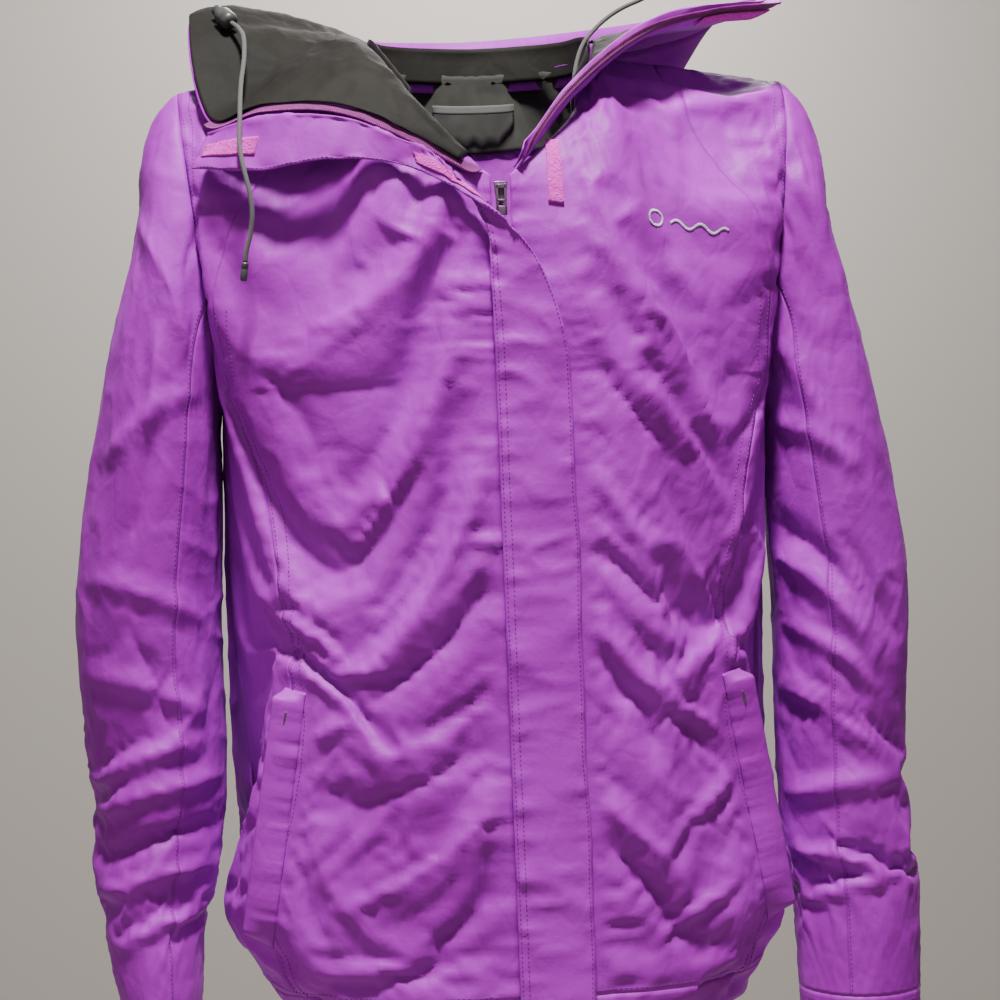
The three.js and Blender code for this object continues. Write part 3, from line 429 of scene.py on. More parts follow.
def settle(points, faces, hold, growth, frames=22, weight=0.25):
    """Lets cloth cut a little too large fall into its own creases; hold is 1 where it is sewn fast."""
    data = bpy.data.meshes.new("settling")
    data.from_pydata((points * MM).tolist(), [], faces.tolist())
    cloth = bpy.data.objects.new("settling", data)
    scene.collection.objects.link(cloth)
    held = cloth.vertex_groups.new(name="held")
    levels = np.round(hold, 2)
    for level in np.unique(levels):
        held.add(np.flatnonzero(levels == level).tolist(), float(level), "REPLACE")
    fall = cloth.modifiers.new("fall", "CLOTH")
    s = fall.settings
    s.quality, s.mass, s.air_damping = 5, 0.12, 1.0
    s.tension_stiffness = s.compression_stiffness = 18
    s.shear_stiffness, s.bending_stiffness = 6, 0.25
    s.tension_damping = s.compression_damping = s.shear_damping = 6
    s.vertex_group_mass, s.pin_stiffness = "held", 1.0
    s.shrink_min = s.shrink_max = -growth
    s.effector_weights.gravity = weight
    fall.collision_settings.use_collision = False
    fall.point_cache.frame_start, fall.point_cache.frame_end = 1, frames
    for frame_number in range(1, frames + 1):
        scene.frame_set(frame_number)
    bpy.context.view_layer.update()
    settled = cloth.evaluated_get(bpy.context.evaluated_depsgraph_get())
    result = np.zeros(len(points) * 3, np.float32)
    settled.data.vertices.foreach_get("co", result)
    bpy.data.objects.remove(cloth)
    scene.frame_set(1)
    return result.reshape(-1, 3).astype(float) / MM


keys = list(quarters)
points, ids = weld([quarters[key] for key in keys])
LOOSE, BODY_FULLNESS = 0.03, 0.02  # how firmly free cloth is held, and how much too large it is cut
hold = np.full(len(points), LOOSE)
HELD_TO = {"right": 30, "left": 56}  # the zip and the flap steady the cloth this far from the middle
for (side, behind), number in zip(keys, ids):
    x, z = np.abs(points[number][..., 0]), points[number][..., 2]
    near_middle = 0 * x
    if not behind:
        near_middle = smooth((HELD_TO[side] - x) / 10)
        # The pocket's zip keeps the seam in its place, from a little below it to a little above.
        off_seam = np.linalg.norm(quarters[side, False] - quarters[side, False][SEAM_COLUMN], axis=-1)
        at_pocket = smooth((24 - off_seam) / 8) * smooth((-405 - z) / 12) * smooth((z + 600) / 12)
        near_middle = np.maximum(near_middle, at_pocket)
    hold[number] = np.maximum(hold[number], near_middle)
    hold[number[:, [0, 1, TOP_ROW]]] = 1
    hold[number[SIDE_COLUMNS, UNDERARM_ROW:]] = 1
faces = np.concatenate([squares(number) for number in ids])
points = settle(points, faces, hold, BODY_FULLNESS)
quarters = {key: points[number] for key, number in zip(keys, ids)}


def finer(grid, times=2):
    """The same grid with more points, on smooth curves through the old ones."""
    for axis in (0, 1):
        turned_grid = np.moveaxis(grid, axis, 0)
        last = turned_grid.shape[0] - 1
        place = np.linspace(0, last, last * times + 1)
        first = np.minimum(place.astype(int), last - 1)
        f = (place - first).reshape(-1, *[1] * (grid.ndim - 1))
        a, b, c, d = (turned_grid[np.clip(first + k, 0, last)] for k in (-1, 0, 1, 2))
        a = np.where((first == 0).reshape(f.shape), 2 * b - c, a)
        d = np.where((first == last - 1).reshape(f.shape), 2 * c - b, d)
        grid = np.moveaxis(spline(a, b, c, d, f), 0, axis)
    return grid


def scatter(where, size, seed=0.0):
    """Smooth random values from -1 to 1 that change over about that size, in millimetres."""
    place = np.asarray(where) / size + seed
    cell = np.floor(place).astype(np.int64)
    f = place - cell
    f = f * f * (3 - 2 * f)
    total = 0
    for corner in np.ndindex(2, 2, 2):
        i, j, k = (cell[..., n] + corner[n] for n in range(3))
        number = (i * 73856093) ^ (j * 19349663) ^ (k * 83492791)
        number = (number ^ (number >> 13)) * 1274126177 & 0x7FFFFFFF
        share = np.prod([f[..., n] if corner[n] else 1 - f[..., n] for n in range(3)], axis=0)
        total = total + share * (number / 0x3FFFFFFF - 1)
    return total


def creased(where, size, seed=0.0):
    """Sharp-crested random creases, 0 to 1, as in crumpled thin cloth."""
    warp = scatter(where, size * 1.7, seed + 9.1)[..., None] * size * 0.5
    return (1 - np.abs(scatter(np.asarray(where) + warp, size, seed))) ** 3


def crumpled(grid, out, depth, size=26, seed=0.0):
    """Adds small creases that die out at the grid's own edges, where it is sewn."""
    where = grid * np.array([1.0, 1.0, 0.75])
    height = depth * (creased(where, size, seed) + 0.45 * creased(where, size * 0.42, seed + 3.3) - 0.45)
    return grid + out * height[..., None]


def new_piece(name, vertices, faces, finish):
    """A smooth piece in that finish, from points in metres."""
    data = bpy.data.meshes.new(name)
    data.from_pydata(vertices, [], faces)
    data.polygons.foreach_set("use_smooth", np.ones(len(data.polygons), bool))
    data.materials.append(finish)
    piece = bpy.data.objects.new(name, data)
    scene.collection.objects.link(piece)
    return piece


def lay_flat(data, flat):
    """Gives the mesh its flat layout, from where each of its points lies on it."""
    corners = np.zeros(len(data.loops), np.int32)
    data.loops.foreach_get("vertex_index", corners)
    data.uv_layers.new(name="UVMap").data.foreach_set("uv", flat[corners].ravel())


def grid_piece(name, grid, out, thickness, finish, ring=False):
    """A piece of cloth from the points of its outer face, with an inner face and edges, all closed."""
    rows, length = grid.shape[:2]
    inner = grid - out * thickness
    vertices = np.concatenate([grid.reshape(-1, 3), inner.reshape(-1, 3)]) * MM
    number = np.arange(rows * length).reshape(rows, length)
    if ring:
        number = np.concatenate([number, number[:1]])
    outer = squares(number)
    turned_quads = outer[:, ::-1] + rows * length
    rims = [number[:, 0], number[::-1, -1]]
    if not ring:
        rims += [number[0, ::-1], number[-1]]
    below = [rim + rows * length for rim in rims]
    edge_faces = [np.stack([a[1:], a[:-1], b[:-1], b[1:]], -1) for a, b in zip(rims, below)]
    faces = np.concatenate([outer, turned_quads, *edge_faces])
    piece = new_piece(name, vertices.tolist(), faces.tolist(), finish)
    steps = [np.linalg.norm(np.diff(grid, axis=axis), axis=-1) for axis in (0, 1)]
    u = np.concatenate([np.zeros((1, length)), np.cumsum(steps[0], 0)])
    v = np.concatenate([np.zeros((rows, 1)), np.cumsum(steps[1], 1)], 1)
    flat = np.stack([u, v], -1).reshape(-1, 2) * MM
    lay_flat(piece.data, np.concatenate([flat, flat]))
    a, b, c, d = (vertices[faces[:, n]] for n in range(4))
    volume = np.einsum("ij,ij->i", a, np.cross(b, c))
    volume += np.einsum("ij,ij->i", a, np.cross(c, d))
    if volume.sum() < 0:
        piece.data.flip_normals()
    return piece


def worn(piece, body, slot, *nodes):
    """The piece moves with that body when body is a name, else it stays where it is made, and it stands for
    those CAD nodes, which are hidden. The slot is not used.
    """
    if isinstance(body, str):
        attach(piece, body)
    else:
        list(body)
        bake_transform(piece)
    if nodes:
        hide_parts(*nodes)
    return piece


def area_of(grid):
    steps = [np.diff(grid, axis=axis) for axis in (0, 1)]
    return float(np.linalg.norm(np.cross(steps[0][:, 1:], steps[1][1:]), axis=-1).sum()) * MM * MM


def cloth_sheet(grid):
    along = np.linalg.norm(np.diff(grid, axis=1), axis=-1).sum(1).max() * MM
    across = np.linalg.norm(np.diff(grid, axis=0), axis=-1).sum(0).max() * MM
    area = min(area_of(grid), across * along)
    area = max(area, LEAST_FILLED * across * along)


CLOTH, HEM_CLOTH, CUFF_CLOTH, LINING_THICK, LEAST_FILLED = 0.7, 1.4, 1.5, 0.5, 0.31
BODY_CREASE, SLEEVE_CREASE, HOOD_CREASE, LINING_CREASE = 1.15, 1.1, 1.2, 1.0
AS_SHELL = (CLOTH, SHELL_CLOTH, "shell_nylon")


def sheet(name, grid, out, body="shell", nodes=(), made=AS_SHELL, ring=False):
    """A worn sheet of cloth. It stands for the CAD node of its own name, or for those nodes."""
    thickness, finish, slot = made
    piece = grid_piece(name, grid, out, thickness, finish, ring)
    worn(piece, body, slot, *(nodes or (name,)))
    cloth_sheet(grid)


def trim(name, grid, out, thickness, finish, slot, *nodes, body="shell"):
    """A worn strip or patch, which stands for the CAD nodes it is given."""
    worn(grid_piece(name, grid, out, thickness, finish), body, slot, *nodes)


# The front panels, side panels, back and hem come from those quarters, made finer.
# Each is cut at its own seams.
SEAM_PUCKERS = ((0, 18, 1.7), (2 * SEAM_COLUMN, 9, 1.0))  # column, reach and height
fine_quarters = {}
for (side, behind), grid in quarters.items():
    grid = finer(grid)
    out = normals(grid, SIDES[side] * (-1 if behind else 1))
    column_list = np.arange(grid.shape[0])[:, None]
    fade = smooth(column_list / 6) * smooth((grid.shape[0] - 1 - column_list) / 6)
    grid = crumpled(grid, out * fade[..., None], BODY_CREASE, seed=3.0 * len(fine_quarters))
    # The stitched lines draw the cloth up into small puckers.
    down = np.stack([0 * grid[..., 2], 0 * grid[..., 2], grid[..., 2]], -1)
    for column, reach, height in () if behind else SEAM_PUCKERS:
        off = np.linalg.norm(grid - grid[column], axis=-1)
        tugs = scatter(down, 7.5, column + 1.0) + 0.6 * scatter(down, 3.9, column + 5.0)
        tugs = tugs * height * np.exp(-off / reach) * smooth(off / 3 + 0.15)
        grid = grid + out * tugs[..., None]
    fine_quarters[side, behind] = grid
EDGE, SEAM = 2 * HEM_ROW, 2 * SEAM_COLUMN
for side in SIDES:
    grid = fine_quarters[side, False]
    out = normals(grid, SIDES[side])
    # The curved seam's column parts the front panel from the side panel, all the way up.
    sheet(f"front_panel_{side}", grid[: SEAM + 1, EDGE:], out[: SEAM + 1, EDGE:])
    sheet(f"side_panel_{side}", grid[SEAM:, EDGE:], out[SEAM:, EDGE:])
whole_back = np.concatenate([fine_quarters["right", True][::-1], fine_quarters["left", True][1:]])
back_out = normals(whole_back, -1)
sheet("back_panel", whole_back[:, EDGE:], back_out[:, EDGE:])
for side in SIDES:
    band = np.concatenate([fine_quarters[side, False], fine_quarters[side, True][-2::-1]])[:, : EDGE + 1]
    sheet(f"hem_channel_{side}", band, normals(band, SIDES[side]), made=(HEM_CLOTH, *AS_SHELL[1:]))

# Sleeves: tubes from the armholes down to the cuffs, of an upper and a narrow under piece,
# with long creases from the underarm and short ones at the elbow. The cuffs end them.
AROUND, UNDER = 76, 28  # columns round the sleeve, and half the under piece's, once made finer
BAND_SHARE, BAND_STEPS, SLEEVE_HEAD = 0.9553, 5, 7.0
SLEEVE_LOOSE, SLEEVE_FULLNESS, SLEEVE_WEIGHT = 0.04, 0.012, 0.05
inner_points = [[185, -225], [190.3, -251.8], [193, -314.4], [201, -394.9], [201, -475.3]]
outer_points = [[207, -20], [232.4, -77.4], [263, -194.3], [290.3, -350.2], [285.6, -457.4]]
inner_edges = {
    "right": through([*inner_points, [208, -560.3], [217, -672]]),
    "left": through([*inner_points, [199, -560.3], [200, -672]]),
}
outer_edges = {
    "right": through([*outer_points, [280, -564.7], [260, -672]]),
    "left": through([*outer_points, [286, -564.7], [281, -672]]),
}
half_depth = through([[57], [64.4], [70], [67.2], [58.8], [50.4], [42]])
sway = through([[0], [4], [9], [13], [12], [4], [-6]])
stretches = [(0, 1 / 6, 8), (1 / 6, 1 / 3, 18), (1 / 3, 0.5, 24), (0.5, 2 / 3, 17), (2 / 3, 5 / 6, 17)]
stretches += [(5 / 6, BAND_SHARE, 13), (BAND_SHARE, 1, BAND_STEPS)]
downs = np.concatenate([np.linspace(a, b, n + 1)[:-1] for a, b, n in stretches] + [[1]])
BAND_ROW = len(downs) - BAND_STEPS - 1
CUFF_FROM = 2 * BAND_ROW
SLEEVE_FOLDS = {
    "right": [
        (-284, -500, -200, -478, 13, 6), (-276, -530, -200, -508, 14, -6), (-282, -478, -214, -452, 12, 5),
        (-240, -100, -208, -205, 13, 5), (-265, -262, -200, -222, 13, 4), (-273, -343, -212, -372, 14, 4),
        (-279, -405, -208, -438, 13, 4), (-274, -556, -212, -536, 11, 5), (-234, -250, -260, -330, 13, -4),
        (-255, -380, -235, -450, 12, -4), (-225, -180, -245, -270, 10, 4), (-262, -590, -216, -570, 9, 4),
    ],
    "left": [
        (184, -190, 244, -322, 18, 6), (190, -340, 250, -404, 13, 5), (170, -420, 258, -484, 14, 6),
        (176, -520, 264, -500, 14, 6), (189, -255, 240, -286, 12, 4), (176, -312, 242, -372, 14, -5),
        (175, -448, 246, -462, 12, -5), (178, -548, 255, -564, 11, 5), (205, -85, 236, -195, 14, 4),
        (196, -388, 254, -436, 10, 4), (214, -225, 232, -300, 12, -4), (205, -585, 262, -570, 9, 4),
        (230, -330, 268, -400, 10, -3),
    ],
}
fine_sleeves = {}
# For each sleeve, the shoulder point and a point a little way beyond it, in metres; no bend is made from
# them.
sleeve_bends = {
    side: ("shell", f"sleeve_{side}", (sign * 0.207, 0, -0.020), (sign * 0.2517, 0, -0.0252))
    for side, sign in SIDES.items()
}
for side, sign in SIDES.items():
    hole_front = quarters[side, False][SIDE_COLUMNS, UNDERARM_ROW:]
    hole_back = quarters[side, True][SIDE_COLUMNS, UNDERARM_ROW + 1 : -1][::-1]
    ring = np.concatenate([hole_front, hole_back])
    half_turn = np.linspace(math.pi, 0, AROUND // 2 + 1), np.linspace(0, -math.pi, AROUND // 2 + 1)[1:-1]
    angles = np.concatenate(half_turn)[:, None]
    inner_xz, outer_xz = inner_edges[side](downs), outer_edges[side](downs)
    middle_xz = (inner_xz + outer_xz) / 2
    reach = (outer_xz - inner_xz) / 2
    x = middle_xz[:, 0] + np.cos(angles) * reach[:, 0]
    z = middle_xz[:, 1] + np.cos(angles) * reach[:, 1]
    y = sway(downs)[:, 0] - half_depth(downs)[:, 0] * np.sin(angles)
    grid = np.stack([sign * x, y, z], -1)
    grid += (ring - grid[:, 0])[:, None] * (1 - smooth(downs / 0.1))[:, None]
    closed = np.concatenate([grid, grid[:1]])
    out = normals(closed, -sign)[:-1]
    # The sleeve head stands full before it falls.
    cap = np.sin(np.pi * np.clip(downs / 0.2, 0, 1)) * np.clip(np.cos(angles), 0, 1) ** 0.7
    grid += out * (SLEEVE_HEAD * cap)[..., None]
    facing = smooth(-out[..., 1] * 1.6) * smooth(downs / 0.08) * smooth((1 - downs) / 0.08)
    for x1, z1, x2, z2, width, height in SLEEVE_FOLDS[side]:
        grid += out * (fold(grid, (x1, z1, x2, z2), width, height) * facing)[..., None]
        # The back of the sleeve gets the same folds, turned over.
        behind_fold = fold(grid, (x2, z1 + 14, x1, z2 + 14), width, height)
        grid += out * (behind_fold * smooth(out[..., 1] * 1.6) * smooth((1 - downs) / 0.08))[..., None]
    loop = np.arange(AROUND * len(downs)).reshape(AROUND, -1)
    held = np.full(loop.shape, SLEEVE_LOOSE) + 0.3 * smooth((downs - 0.8) / 0.15)
    held[:, [0, -1]] = 1
    held[:, BAND_ROW:] = 0.6
    faces = squares(np.concatenate([loop, loop[:1]]))
    free = grid.reshape(-1, 3)
    free = settle(free, faces, held.ravel(), SLEEVE_FULLNESS, weight=SLEEVE_WEIGHT)
    grid = free.reshape(grid.shape)
    closed = finer(np.concatenate([grid, grid[:1]]))
    out = normals(closed, -sign)
    fade = smooth(np.arange(closed.shape[1]) / 5)
    closed = crumpled(closed, out * fade[:, None], SLEEVE_CREASE, seed=5.0 + sign)
    closed[-1] = closed[0]
    fine_sleeves[side] = closed
    out = normals(closed, -sign)
    out[0] = out[-1] = (out[0] + out[-1]) / 2
    # Column 0 is the underarm. The under piece takes a little over a third, across it.
    bends = sleeve_bends[side]
    upper = slice(UNDER, 2 * AROUND - UNDER + 1), slice(0, CUFF_FROM + 1)
    sheet(f"sleeve_upper_{side}", closed[upper], out[upper], bends)
    rolled, rolled_out = (
        np.concatenate([a[-UNDER - 1 : -1], a[: UNDER + 1]])[:, : CUFF_FROM + 1] for a in (closed, out)
    )
    sheet(f"sleeve_under_{side}", rolled, rolled_out, bends)
    cuff = slice(0, -1), slice(CUFF_FROM, None)
    as_cuff = (CUFF_CLOTH, *AS_SHELL[1:])
    sheet(f"cuff_{side}", closed[cuff], out[cuff], f"sleeve_{side}", made=as_cuff, ring=True)

# Collar and hood: one surface from the slider round the neck, turned back at the right
# and splayed open at the left, with the hood hanging down the back.
hood_stations = [
    [[-7, -116, -99], [-9, -121, -97], [0, 0, 0], [0, 0, 0]],
    [[-38, -101, -64], [-50, -114, -72], [-3, -5, 7], [4, 0, 5]],
    [[-64, -66, -24], [-98, -102, -50], [-8, -10, 18], [12, 8, 14]],
    [[-78, -20, 4], [-146, -86, -46], [-20, -10, 22], [20, 14, 20]],
    [[-80, 10, 10], [-184, -60, -50], [-30, -6, 14], [30, 14, 16]],
    [[-77, 32, 14], [-198, -10, 14], [-30, 0, 16], [28, 5, 12]],
    [[-66, 52, 15], [-186, 44, 44], [-26, 10, 10], [10, 6, -6]],
    [[-40, 68, 16], [-118, 132, 46], [-20, 45, -194], [-10, 34, -216]],
    [[0, 76, 16], [0, 180, 50], [0, 48, -270], [0, 38, -297]],
    [[40, 68, 16], [118, 132, 50], [20, 45, -194], [10, 34, -216]],
    [[66, 52, 15], [188, 50, 46], [26, 10, -6], [-10, 6, -24]],
    [[77, 32, 14], [208, 0, 38], [32, 0, 2], [-20, 2, -16]],
    [[80, 10, 10], [198, -42, 24], [30, -8, 6], [-26, 0, -18]],
    [[78, -20, 2], [148, -64, 14], [18, -10, 6], [-12, -2, -14]],
    [[66, -60, -22], [97, -86, -5], [8, -10, 4], [-3, -4, -9]],
    [[38, -101, -62], [46, -109, -47], [2, -5, 2], [-1, -2, -4]],
    [[7, -116, -99], [9, -121, -97], [0, 0, 0], [0, 0, 0]],
]
hood_tracks = [through([station[n] for station in hood_stations]) for n in range(4)]


def hood(turn, reach):
    turn, reach = np.broadcast_arrays(np.asarray(turn, float), np.asarray(reach, float))
    neck, edge, leave, arrive = (track(turn) for track in hood_tracks)
    out = reach[..., None]
    bends = (1 - out) ** 3, 3 * out * (1 - out) ** 2, 3 * out**2 * (1 - out), out**3
    return bends[0] * neck + bends[1] * (neck + leave) + bends[2] * (edge + arrive) + bends[3] * edge


LINING_CLOTH = nylon("lining_satin", (0.014, 0.0135, 0.012, 1), (0.026, 0.025, 0.022, 1), 0.62, 0.08)
LAST_TURN = 244
turns = np.linspace(0.012, 0.988, LAST_TURN + 1)[:, None]
reaches = np.linspace(0.0, 1.0, 61)
from_back, arch = np.abs(turns - 0.5), np.sin(np.pi * reaches)
grid = hood(turns, reaches)
inward = normals(grid, 1)
# Long soft folds run from the neck into the hanging hood, and gather along its middle seams.
deep = smooth((from_back - 0.14) / -0.05) * arch**0.8
ripple = np.sin(turns * 150 + 2.2 * np.sin(reaches * 5) + 1.3) + 0.7 * np.sin(turns * 87 - reaches * 3)
grid = grid + inward * (3.2 * deep * ripple)[..., None]
collar_wave = smooth((0.14 - from_back) / -0.04) * arch * smooth((0.5 - from_back) / 0.12)
waves = 2.4 * scatter(grid, 34.0, 2.0) + 1.2 * creased(grid, 30.0, 4.0)
grid = grid + inward * (collar_wave * waves)[..., None]
inward = normals(grid, 1)
settled_hood = crumpled(grid, inward * (arch**0.3)[:, None], HOOD_CREASE, seed=8.0)
PART_TURNS = (0.375, 0.42, 0.58, 0.625)  # where the collar's and the hood's parts meet
cut_at = [0] + [int(np.abs(turns[:, 0] - t).argmin()) for t in PART_TURNS] + [LAST_TURN]
parts = ["collar_right", "hood_side_right", "hood_centre", "hood_side_left", "collar_left"]
hood_bend = ("shell", "hood", (0, 0.058, 0.02), (0, 0.115, 0.02))
hood_out = normals(settled_hood, -1)
for name, start, stop in zip(parts, cut_at, cut_at[1:]):
    strip = slice(start, stop + 1)
    sheet(name, settled_hood[strip], hood_out[strip], "shell" if "collar" in name else hood_bend)
# The lining lies inside, loosely, and stops short of the zip tape.
LINING = (LINING_THICK, LINING_CLOTH, "lining")
slack = 2.6 + 1.6 * scatter(settled_hood, 40.0, 6.0)
lined = settled_hood - hood_out * slack[..., None]
lined = crumpled(lined, -hood_out, LINING_CREASE, size=30, seed=11.0)
for name, start, stop, reached in (
    ("collar_lining_right", 4, cut_at[1], 0.985),
    ("hood_lining", cut_at[1], cut_at[4], 0.985),
    ("collar_lining_left", cut_at[4], LAST_TURN - 4, 0.93),
):
    kept = reaches <= reached
    strip, strip_out = lined[start : stop + 1][:, kept], -hood_out[start : stop + 1][:, kept]
    sheet(name, strip, strip_out, "shell" if "collar" in name else hood_bend, made=LINING)

# The neck's stand: shell cloth from the hood's root down inside the body, with the lining's band.
neck_line = hood(turns[22 : LAST_TURN - 21, 0], 0.0)
inwards = unit_rows(-neck_line * np.array([1, 1, 0]))
for name, inset, height, depth, (_, finish, slot) in (
    ("neck_stand", 0.9, 1.5, -26, AS_SHELL),
    ("neck_band", 4.4, 6.0, -20, LINING),
):
    drops = np.linspace(height, depth, 9)[:, None, None]
    band = (neck_line + inwards * inset)[None] + drops * np.array([0, 0, 1.0])
    band = band + inwards * 0.12 * np.abs(drops)
    band = band + inwards * (0.5 * scatter(band, 12.0, 2.0))[..., None]
    trim(name, band, inwards, 0.8, finish, slot)


# Other finishes: woven tapes, moulded plastic, metal, fuzzy hook patches, braided cord and thread.
def woven(name, deep, bright, rate, gloss=0.75, depth=0.0004):
    f = Finish(name, Sheen_Weight=0.15)
    across, along = weave_of(f, rate, rate * 0.8)
    fuzz = f.noise(f.place(), 700.0, 2.0)
    height = across * along * 0.5 + fuzz * 0.5
    f.relief(height, depth, 0.7)
    share = (height + 0.35).within(0.0, 1.0)
    return f.shows(Base_Color=f.mixed(share, deep, bright), Roughness=gloss + (fuzz - 0.5) * 0.15)


def moulded(name, deep, bright, gloss, metallic=0.0):
    f = Finish(name, Metallic=metallic)
    where = f.place()
    patches = f.noise(where, 120.0, 3.0)
    scuff = f.noise(f.stretched(where, (1.0, 1.0, 4.0)), 900.0, 2.0)
    f.relief(scuff, 0.0001, 0.3)
    colour = f.mixed(patches.within(0.3, 0.7), deep, bright)
    return f.shows(Base_Color=colour, Roughness=gloss + (scuff - 0.5) * 0.2)


def fuzzy(name, deep, bright):
    f = Finish(name, Sheen_Weight=0.08, Roughness=0.9)
    where = f.place()
    loops = f.cells(where, 900.0)
    tufts = f.noise(where, 420.0, 4.0, 0.7)
    f.relief(loops * 0.6 + tufts, 0.0009, 0.9)
    return f.shows(Base_Color=f.mixed(tufts.within(0.3, 0.7), deep, bright))


TAPE_WEAVE = woven("zip_tape", (0.11, 0.008, 0.10, 1), (0.24, 0.020, 0.20, 1), 5200.0)
TEETH_COIL = moulded("zip_coil", (0.17, 0.010, 0.14, 1), (0.30, 0.020, 0.25, 1), 0.3)
SLIDER_PAINT = moulded("slider_paint", (0.17, 0.10, 0.17, 1), (0.24, 0.16, 0.24, 1), 0.34, 0.6)
HOOK_FUZZ = fuzzy("hook_tape", (0.60, 0.020, 0.45, 1), (0.85, 0.050, 0.68, 1))
CORD_BRAID = woven("cord_braid", (0.05, 0.05, 0.05, 1), (0.12, 0.12, 0.12, 1), 6000.0, 0.7, 0.0003)
DARK_PLASTIC = moulded("dark_plastic", (0.045, 0.045, 0.046, 1), (0.075, 0.075, 0.078, 1), 0.4)
PINK_WEBBING = woven("pull_webbing", (0.75, 0.05, 0.45, 1), (0.9, 0.09, 0.6, 1), 4200.0)
SEWING = moulded("thread", (0.14, 0.014, 0.18, 1), (0.24, 0.030, 0.30, 1), 0.6)
SILVER_THREAD = moulded("silver_thread", (0.55, 0.50, 0.62, 1), (0.78, 0.74, 0.84, 1), 0.4)


def mesh_weave():
    """Open mesh: round holes in rows."""
    f = Finish("mesh_cloth", Roughness=0.85)
    across, along = weave_of(f, 4200.0, 4200.0)
    web = (across * along).size()
    cloud = f.noise(f.place(), 60.0)
    f.relief(web, 0.0003, 0.6)
    return f.shows(
        Base_Color=f.mixed(cloud, (0.035, 0.036, 0.030, 1), (0.075, 0.077, 0.066, 1)),
        Alpha=1.0 - web.within(0.62, 0.74) * 0.85,
    )


MESH_CLOTH = mesh_weave()


# Cords: the two ends of the hood's drawcord, hanging over the collar, each with a crimped tip.
def along_path(path, pitch):
    """Points at even steps along a path of millimetre points, with the way the path goes at each."""
    path = np.array(path, float)
    fine = through(path)(np.linspace(0, 1, 30 * len(path)))
    way = run_of(fine)
    marks = np.linspace(0, way[-1], max(2, int(round(way[-1] / pitch)) + 1))
    places = at_marks(marks, way, fine)
    return places, unit_rows(np.gradient(places, axis=0))


def tube_faces(sides, length):
    """The faces of a tube of that many points round and along, closed at both ends."""
    number = np.arange(sides * length).reshape(sides, -1)
    faces = squares(np.concatenate([number, number[:1]])).tolist()
    return faces + [number[::-1, 0].tolist(), number[:, -1].tolist()]


def face_out(piece):
    """Turns the piece's faces outward, and leaves it the active one."""
    bpy.ops.object.select_all(action="DESELECT")
    piece.select_set(True)
    bpy.context.view_layer.objects.active = piece
    bpy.ops.object.mode_set(mode="EDIT")
    bpy.ops.mesh.select_all(action="SELECT")
    bpy.ops.mesh.normals_make_consistent(inside=False)
    bpy.ops.object.mode_set(mode="OBJECT")


def round_tube(name, path, diameter, finish, pitch=2.0, sides=12, braid=0.0):
    places, heading = along_path(path, pitch)
    side_way = unit(np.cross(heading[0], (0.3, 0.2, 1.0)))
    grid = np.zeros((sides, len(places), 3))
    for j, (place, way) in enumerate(zip(places, heading)):
        side_way = unit(side_way - way * (side_way @ way))
        other = np.cross(way, side_way)
        for i in range(sides):
            angle = 2 * math.pi * i / sides
            radius = diameter / 2 * (1 + braid * math.sin(4 * angle) * math.sin(j * 1.7))
            grid[i, j] = place + radius * (math.cos(angle) * side_way + math.sin(angle) * other)
    vertices = (grid.reshape(-1, 3) * MM).tolist()
    piece = new_piece(name, vertices, tube_faces(sides, len(places)), finish)
    number = np.arange(len(vertices))
    round_and_along = number // len(places) * diameter / 4, number % len(places) * pitch
    lay_flat(piece.data, np.stack(round_and_along, -1) * MM)
    face_out(piece)
    return piece, places


def turned_part(name, radii, place, way, sides=24):
    """A turned part from (distance along, radius) pairs, standing at place and pointing along way."""
    spots = np.array(radii, float)
    angle = np.linspace(0, 2 * math.pi, sides, endpoint=False)
    across = [np.outer(np.cos(angle), spots[:, 1]), np.outer(np.sin(angle), spots[:, 1])]
    rings = np.stack([*across, np.ones((sides, 1)) * spots[:, 0]], -1)
    turn = Vector(way).to_track_quat("Z", "Y").to_matrix()
    vertices = [(turn @ Vector(p) + Vector(place)) * MM for p in rings.reshape(-1, 3)]
    part = new_piece(name, vertices, tube_faces(sides, len(spots)), DARK_PLASTIC)
    face_out(part)
    bpy.ops.object.shade_smooth_by_angle(angle=math.radians(35))
    return part


CORD_THICK = 3.0
TIP_PROFILE = [(0, 1.7), (0.6, 2.2), (3, 2.3), (4, 1.9), (5, 2.3), (11, 2.2), (12, 1.6)]
CORD_LOCK_PROFILE = [(0, 3.4), (0.8, 4.6), (2, 5.6), (4, 6.0), (13, 6.0), (15.5, 5.4), (16.4, 4.8)]
CORD_PATHS = {
    "right": [
        (-168, -16, 25), (-163, -24, 19), (-160, -36, 10), (-160, -50, -6), (-162, -66, -24),
        (-163, -80, -40),
        (-163.5, -92, -56), (-164, -99, -70), (-162.5, -105, -84), (-160, -108, -96), (-158, -109, -107),
        (-157.5, -109, -118), (-159, -108, -129), (-162, -107, -140), (-163, -106, -147),
    ],
    "left": [
        (166, -10, 50), (155, -14, 51), (142, -17, 48), (130, -19, 43), (119, -21, 38), (108, -23, 33),
        (97, -25, 28), (86, -27, 21), (76, -30, 12), (68, -34, 2), (63, -38, -10), (60, -42, -23),
        (58, -46, -37), (57, -48, -51), (56, -50, -66),
    ],
}
